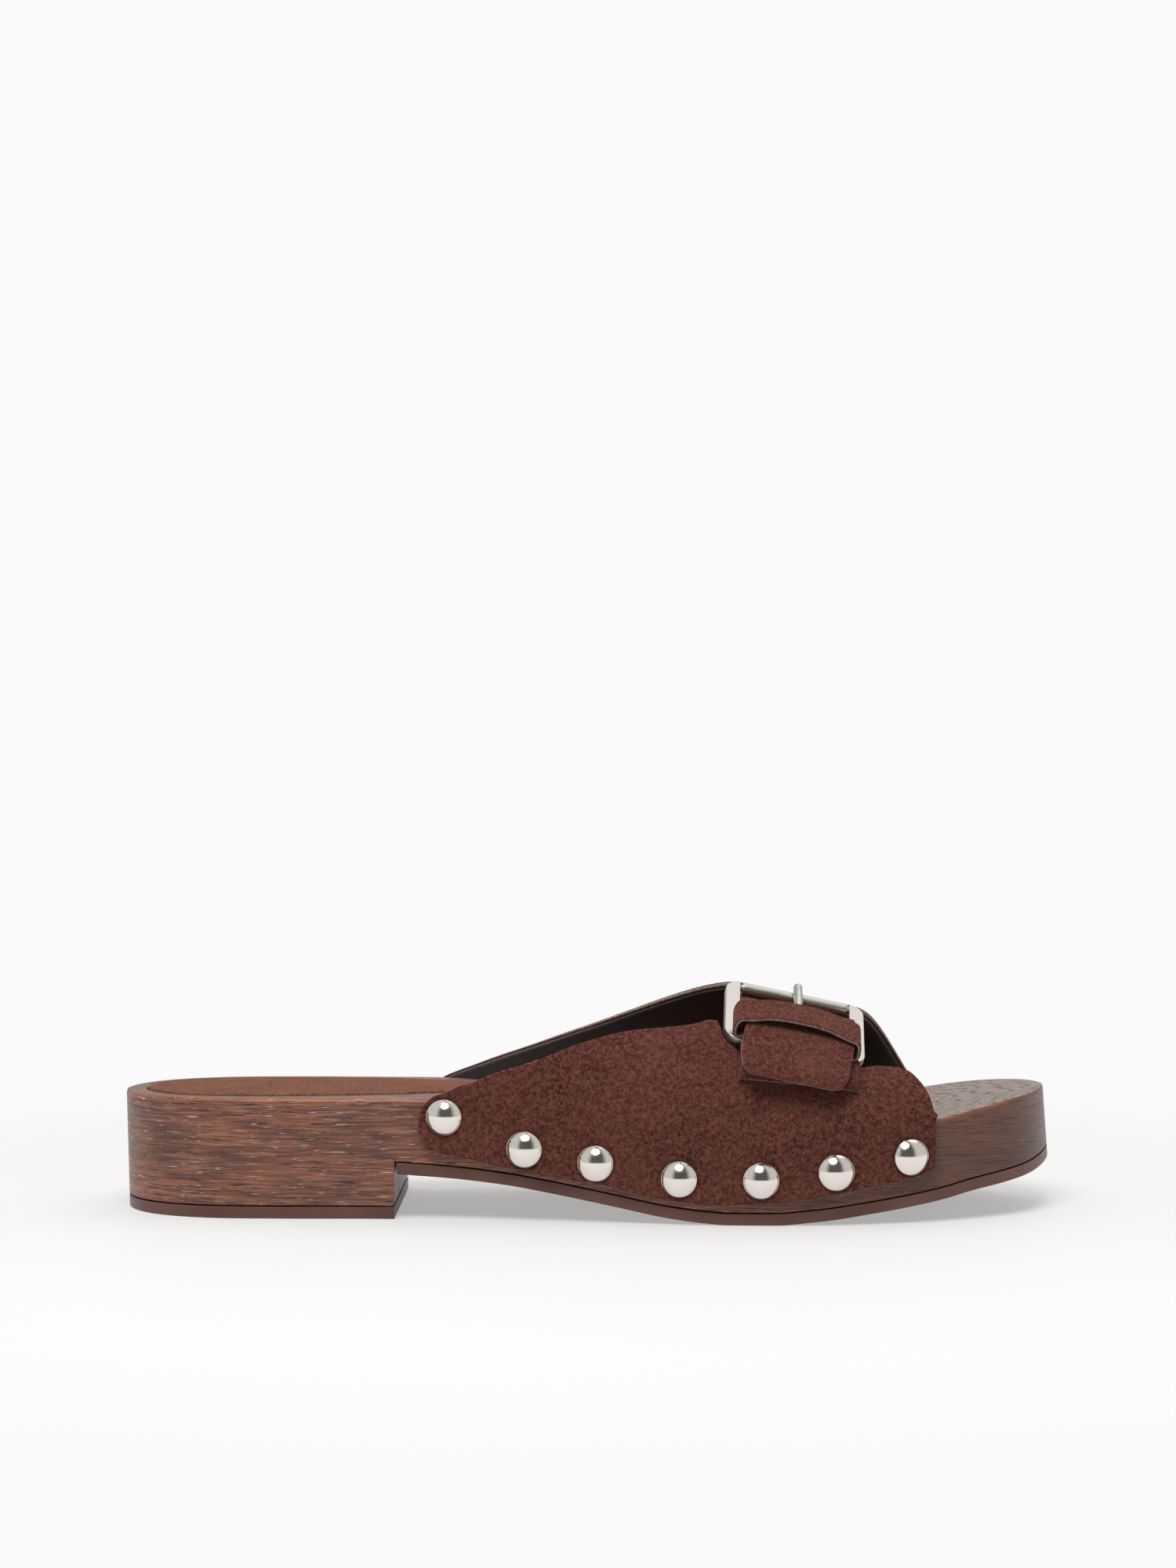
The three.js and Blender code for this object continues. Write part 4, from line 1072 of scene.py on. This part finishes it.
PRONG_HOLE_WIDTH = 3.4
PRONG_HOLE = (7.4, 16.4)
half_hole = PRONG_HOLE_WIDTH / 2
hole_line = []
for middle, start in ((PRONG_HOLE[1] - half_hole, 0), (PRONG_HOLE[0] + half_hole, math.pi)):
    for turn in np.linspace(start, start + math.pi, 13):
        hole_line.append((PRONG_OFFSET + half_hole * math.cos(turn), middle + half_hole * math.sin(turn)))
hole_points, hole_faces = prism(hole_line, -8, 8)
hole_points = [from_buckle(*p) for p in hole_points]
for piece, cad_node, slot in ((medial_upper, "medial_upper", "upper_suede"),
                              (medial_lining, "medial_lining", "lining_leather")):
    cut_away(piece, *nail_holes(medial_spots, 1))
    cut_away(piece, hole_points, hole_faces)
    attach(piece, "root")
    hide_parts(cad_node)

# ---------------------------------------------------------------- nails
# Fourteen domed nails of polished nickel, seven a side, pressed through the leather into the wood:
# a spun head with a rolled rim on a steel shank.
nail_polish, nail_tree, nail_shader = new_material("nail_nickel")
nail_haze = mottle(nail_tree, object_place(nail_tree), 900.0, 2.0)
nail_tree.links.new(ramp(nail_tree, nail_haze, [(0.3, 0.09), (0.7, 0.16)]), nail_shader.inputs["Roughness"])
nail_shader.inputs["Base Color"].default_value = (0.80, 0.76, 0.70, 1)
nail_shader.inputs["Metallic"].default_value = 1.0
NAIL_SEAT_GAP = 0.15
NAIL_POINT = 1.6
NAIL_RIM = 0.2
NAIL_SEEN = 4.65
NAIL_RISE = 2.3
NAIL_TURNS = 56
nail_ball = (NAIL_SEEN ** 2 + NAIL_RISE ** 2) / (2 * NAIL_RISE)
nail_sweep = math.asin((NAIL_SEEN - 0.06) / nail_ball)
nail_profile = [(0, -SHANK_LENGTH), (SHANK_RADIUS, NAIL_POINT - SHANK_LENGTH), (SHANK_RADIUS, 0.0),
                (NAIL_SEEN - 0.5, 0.0)]
nail_profile += [
    (NAIL_SEEN - NAIL_RIM / 2 + NAIL_RIM / 2 * math.cos(t), NAIL_RIM / 2 + NAIL_RIM / 2 * math.sin(t))
    for t in np.linspace(-math.pi / 2, math.pi * 0.35, 7)]
nail_profile += [(nail_ball * math.sin(t), nail_ball * math.cos(t) - nail_ball + NAIL_RISE)
                 for t in np.linspace(nail_sweep * 0.985, 0, 20)]
for side_name, spots in (("lateral", lateral_spots), ("medial", medial_spots)):
    for index, (spot, outward) in enumerate(spots, 1):
        name = f"{side_name}_nail_{index}"
        seat = spot + outward * (LEATHER_OUT + NAIL_SEAT_GAP)
        nail_points, nail_faces = turned(nail_profile, seat, outward, NAIL_TURNS)
        spun = f"{name}_spun"
        nail = link_mesh(spun, mesh_of(spun, to_row(nail_points), nail_faces), nail_polish)
        sharpen(nail, 40)
        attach(nail, "root")
        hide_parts(name)

# ---------------------------------------------------------------- buckle frame
# Cast in one piece, nickel plated with a satin face: flat side bars with rounded shoulders, a heel
# bar that the tab folds round, and a thin axle for the roller.
def buckle_material():
    material, tree, shader = new_material("buckle_nickel")
    stretched = node(tree, "ShaderNodeMapping", {0: object_place(tree), "Scale": (400, 120, 120)}).outputs[0]
    brushed = mottle(tree, stretched, 1.0, 3.0)
    shader.inputs["Base Color"].default_value = (0.47, 0.45, 0.42, 1)
    shader.inputs["Metallic"].default_value = 1.0
    tree.links.new(ramp(tree, brushed, [(0.3, 0.29), (0.7, 0.33)]), shader.inputs["Roughness"])
    roughen(tree, shader, brushed, 0.04, 0.00002)
    return material


def arc(centre_a, centre_b, radius, start, stop, count=10):
    return [(centre_a + radius * math.cos(t), centre_b + radius * math.sin(t))
            for t in np.linspace(math.radians(start), math.radians(stop), count)]


def swept(path, radii, count):
    """Points and faces of a round wire along a path in the buckle's frame, closed at its ends."""
    points = []
    for i, (centre, radius) in enumerate(zip(path, radii)):
        ahead = path[min(i + 1, len(path) - 1)] - path[max(i - 1, 0)]
        lengthways = abs(ahead[0]) >= np.linalg.norm(ahead) * 0.9
        side = np.cross(ahead, (0, 0, 1) if lengthways else (1, 0, 0))
        side /= np.linalg.norm(side)
        other = np.cross(ahead / np.linalg.norm(ahead), side)
        for k in range(count):
            turn = 2 * math.pi * k / count
            points.append(centre + radius * (side * math.cos(turn) + other * math.sin(turn)))
    ends = [tuple(range(count)), tuple(range((len(path) - 1) * count, len(path) * count))]
    return points, ring_faces(len(path), count) + ends


def buckle_mesh(name, points, faces):
    return mesh_of(name, to_row([from_buckle(*p) for p in points]), faces)


satin_nickel = buckle_material()
HEEL_BAR = 2.6
FRAME_THICKNESS = 2.2
AXLE_RADIUS = 0.95
CORNER = 4.2
EDGE_BEVEL = 1.0
frame_end = FRAME_LENGTH + AXLE_RADIUS + 0.7
inner_half = FRAME_INNER / 2
frame_line = [
    *arc(-FRAME_HALF + CORNER, -HEEL_BAR / 2 + CORNER, CORNER, 180, 270),
    *arc(FRAME_HALF - CORNER, -HEEL_BAR / 2 + CORNER, CORNER, 270, 360),
    *arc(FRAME_HALF - CORNER + 0.1, frame_end - CORNER, CORNER - 0.1, 0, 80),
    *arc(inner_half + 0.4, frame_end - 0.4, 0.4, 95, 180, 4),
    *arc(inner_half - 0.8, HEEL_BAR / 2 + 0.8, 0.8, 0, -90, 5),
    *arc(-inner_half + 0.8, HEEL_BAR / 2 + 0.8, 0.8, -90, -180, 5),
    *arc(-inner_half - 0.4, frame_end - 0.4, 0.4, 0, 85, 4),
    *arc(-FRAME_HALF + CORNER - 0.1, frame_end - CORNER, CORNER - 0.1, 100, 180),
]
plate_points, plate_faces = prism(frame_line, -FRAME_THICKNESS / 2, FRAME_THICKNESS / 2)
frame_mesh = buckle_mesh("buckle_frame_cast", plate_points, plate_faces)
work = bmesh.new()
work.from_mesh(frame_mesh)
rims = [e for e in work.edges if len(e.link_faces) == 2 and any(len(f.verts) > 4 for f in e.link_faces)]
bmesh.ops.bevel(
    work, geom=rims, offset=EDGE_BEVEL * MM, segments=6, profile=0.5, affect="EDGES", clamp_overlap=True)
axle_path = [np.array([a, FRAME_LENGTH, 0.0]) for a in np.linspace(-inner_half - 1.5, inner_half + 1.5, 9)]
axle_points, axle_faces = swept(axle_path, [AXLE_RADIUS] * 9, 24)
axle = buckle_mesh("axle", axle_points, axle_faces)
work.from_mesh(axle)
work.to_mesh(frame_mesh)
work.free()
frame_mesh.shade_smooth()
buckle_frame = link_mesh("buckle_frame_cast", frame_mesh, satin_nickel)
sharpen(buckle_frame, 50)
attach(buckle_frame, "buckle_frame")
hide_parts("buckle_frame")

# ---------------------------------------------------------------- roller
# A sleeve of nickel-plated sheet, rolled round the axle with its seam underneath, free to turn.
ROLLER_BORE = 1.3
ROLLER_END_GAP = 0.5
ROLLER_ROUND = 0.22
ROLLER_SEAM = 0.12
ROLLER_TURNS = 48
roller_half = inner_half - ROLLER_END_GAP
round_middle, round_end = ROLLER_RADIUS - ROLLER_ROUND, roller_half - ROLLER_ROUND
roller_profile = [
    (ROLLER_BORE, -roller_half + 0.1), (ROLLER_BORE + 0.08, -roller_half),
    *((round_middle + ROLLER_ROUND * math.sin(t), -round_end - ROLLER_ROUND * math.cos(t))
      for t in np.linspace(0.3, math.pi / 2, 5)),
    *((ROLLER_RADIUS, a) for a in np.linspace(-roller_half + 1, roller_half - 1, 13)),
    *((round_middle + ROLLER_ROUND * math.cos(t), round_end + ROLLER_ROUND * math.sin(t))
      for t in np.linspace(0, math.pi / 2 - 0.3, 5)),
    (ROLLER_BORE + 0.08, roller_half), (ROLLER_BORE, roller_half - 0.1),
]
roller_points = []
for radius, a in [*roller_profile, roller_profile[0]]:
    for k in range(ROLLER_TURNS):
        turn = 2 * math.pi * k / ROLLER_TURNS
        reach = radius - (ROLLER_SEAM if k == 0 and radius > ROLLER_BORE + 0.1 else 0)
        roller_points.append((a, FRAME_LENGTH - reach * math.sin(turn), -reach * math.cos(turn)))
roller_faces = ring_faces(len(roller_profile) + 1, ROLLER_TURNS)
roller = link_mesh(
    "buckle_roller_sleeve", buckle_mesh("buckle_roller_sleeve", roller_points, roller_faces), satin_nickel)
sharpen(roller, 45)
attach(roller, "buckle_roller")
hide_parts("buckle_roller")

# ---------------------------------------------------------------- prong
# Nickel-plated wire, its flattened end curled into an eye round the heel bar and its tip rounded,
# cranked so that it lies over the roller.
PRONG_RADIUS = 1.2
PRONG_EYE_IN = 1.8
PRONG_EYE_WIDTH = 2.4
PRONG_OVERHANG = 2.2
EYE_ROUND = 0.6
EYE_TURNS = 40
rest = ROLLER_RADIUS + RUNNING_GAP + PRONG_RADIUS
crank = smooth_line([
    (PRONG_EYE_IN + 0.1, 0.25), (0.25 * FRAME_LENGTH, 0.22 * rest), (0.41 * FRAME_LENGTH, 0.54 * rest),
    (0.57 * FRAME_LENGTH, 0.92 * rest), (0.74 * FRAME_LENGTH, 1.1 * rest), (0.9 * FRAME_LENGTH, 1.08 * rest),
    (FRAME_LENGTH, rest), (FRAME_LENGTH + PRONG_OVERHANG, 0.95 * rest)], 10)
crank_path = [np.array([PRONG_OFFSET, b, n]) for b, n in crank]
from_tip = [np.linalg.norm(p - crank_path[-1]) for p in crank_path]
crank_radii = [PRONG_RADIUS * math.sqrt(max(0.02, 1 - max(0, 1 - d / PRONG_RADIUS) ** 2)) for d in from_tip]
prong_points, prong_faces = swept(crank_path, crank_radii, 24)
eye_half = PRONG_EYE_WIDTH / 2
half_turn = np.linspace(-math.pi / 2, math.pi / 2, 9)
eye_profile = [
    *((PRONG_EYE_IN + EYE_ROUND - EYE_ROUND * math.cos(t), eye_half * math.sin(t)) for t in half_turn),
    *((PRONG_EYE_OUT - EYE_ROUND + EYE_ROUND * math.cos(t), -eye_half * math.sin(t)) for t in half_turn),
]
first = len(prong_points)
for radius, a in eye_profile:
    for k in range(EYE_TURNS):
        turn = 2 * math.pi * k / EYE_TURNS
        prong_points.append((PRONG_OFFSET + a, radius * math.cos(turn), radius * math.sin(turn)))
prong_faces += [tuple(first + v for v in face)
                for face in ring_faces(len(eye_profile), EYE_TURNS, joined=True)]
prong = link_mesh(
    "buckle_prong_wire", buckle_mesh("buckle_prong_wire", prong_points, prong_faces), satin_nickel)
sharpen(prong, 50)
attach(prong, "buckle_prong")
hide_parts("buckle_prong")

# ---------------------------------------------------------------- buckle tab
# A suede strip folded round the heel bar, a leg on each face of the outer panel, slotted at the
# fold for the prong.
FOLD_INSET = 1
TAB_OUTER_LEG = 12.6
TAB_INNER_LEG = 12
TAB_LEG_SHIFT = 1.5
TAB_COLUMNS = 45
fold_middle = PRONG_EYE_IN + TAB_THICKNESS / 2
inner_stack = LINING_IN - RUNNING_GAP - TAB_THICKNESS / 2 - 0.2
settled = LEATHER_OUT + RUNNING_GAP + TAB_THICKNESS / 2
tab_reach = TAB_OUTER_LEG - 2.6


def tab_row(b, height, shift=0.0):
    half = FRAME_INNER / 2 - FOLD_INSET if b > -3 else TAB_WIDTH / 2
    places = np.linspace(half, -half, TAB_COLUMNS)
    return np.array([from_buckle(a + shift, b, height(a)) for a in places]).ravel()


tab_rows = [tab_row(b, lambda a, b=b: off_panel(a, b, inner_stack))
            for b in np.linspace(-TAB_INNER_LEG, -4.6, 4)]
for degrees in np.linspace(-100, 100, 13):
    turn = math.radians(degrees)
    tab_rows.append(tab_row(fold_middle * math.cos(turn), lambda a, turn=turn: fold_middle * math.sin(turn)))
tab_rows += [tab_row(b, lambda a, b=b: highest_off_panel(b, settled), TAB_LEG_SHIFT)
             for b in (-4, -5.5, -8, -tab_reach)]
tab_rows += [tab_row(b, lambda a, b=b, off=off: off_panel(a, b, off), TAB_LEG_SHIFT)
             for b, off in ((-tab_reach - 1.2, settled + 0.6), (-TAB_OUTER_LEG, settled))]
tab_grid = smooth_line(tab_rows, 5)
tab_grid = respaced(tab_grid.reshape(len(tab_grid), TAB_COLUMNS, 3), 0.5)
tab_grid = respaced(tab_grid.swapaxes(0, 1), 0.6).swapaxes(0, 1)
tab = leather("buckle_tab_folded", tab_grid, -TAB_THICKNESS / 2, TAB_THICKNESS / 2, upper_suede, suede_core,
              nap=0.04, fuzz=0.06)
slot_half = PRONG_EYE_WIDTH / 2 + 0.6
slot_rear, slot_front = PRONG_OFFSET - slot_half, PRONG_OFFSET + slot_half
slot_from, slot_to = -PRONG_EYE_OUT - 0.6, 5
slot_line = [(slot_rear, slot_from), (slot_front, slot_from), (slot_front, slot_to), (slot_rear, slot_to)]
slot_points, slot_faces = prism(slot_line, -6, 6)
cut_away(tab, [from_buckle(*p) for p in slot_points], slot_faces)
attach(tab, "root")
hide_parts("buckle_tab")

# ---------------------------------------------------------------- keeper
# A loose suede loop round the strap, over the heel bar. Its outer run stands up in an arch over the
# strap, with the raw edge showing.
KEEPER_SHIFT = -0.7
KEEPER_SLACK = 1.35
KEEPER_BULGE = 1.3
KEEPER_LEAN = 0.7
KEEPER_SAG = 2
half_loop = STRAP_WIDTH / 2 + KEEPER_SLACK
under_strap = KEEPER_FLOOR + KEEPER_THICKNESS
over_strap = STRAP_OVER + LEATHER_OUT
keeper_half = [
    (0, under_strap), (half_loop - 4.2, under_strap), (half_loop - 2.1, under_strap - 0.2),
    (half_loop - 0.7, under_strap - 1), (half_loop, under_strap - 0.3),
    (half_loop + 0.05, over_strap - 1.2), (half_loop - 0.45, over_strap + 0.2),
    (half_loop - 3.2, over_strap + 0.3 * KEEPER_BULGE),
    (half_loop * 0.45, over_strap + 0.82 * KEEPER_BULGE), (0, over_strap + KEEPER_BULGE)]
keeper_loop = smooth_line([*keeper_half, *[(-a, n) for a, n in keeper_half[-2:0:-1]]], 12, closed=True)
keeper_places = [
    *EDGE_STEPS, *np.linspace(0.8, KEEPER_WIDTH - 0.8, 16), *(KEEPER_WIDTH - e for e in reversed(EDGE_STEPS))]
keeper_grid = []
for along in keeper_places:
    b = along - KEEPER_WIDTH / 2
    row = []
    for a, n in keeper_loop:
        lean = KEEPER_LEAN * max(0, (n - over_strap) / KEEPER_BULGE) * (0.5 - b / KEEPER_WIDTH)
        sag = KEEPER_SAG * abs(a / half_loop) ** 3
        row.append(from_buckle(a + KEEPER_SHIFT, KEEPER_CENTRE + b - sag, n + lean))
    keeper_grid.append(row)
keeper = leather("keeper_loop_sewn", np.array(keeper_grid), 0, KEEPER_THICKNESS, upper_suede, suede_core,
                 closed=True, nap=0.04, fuzz=0.06)
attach(keeper, "root")
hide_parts("keeper_loop")
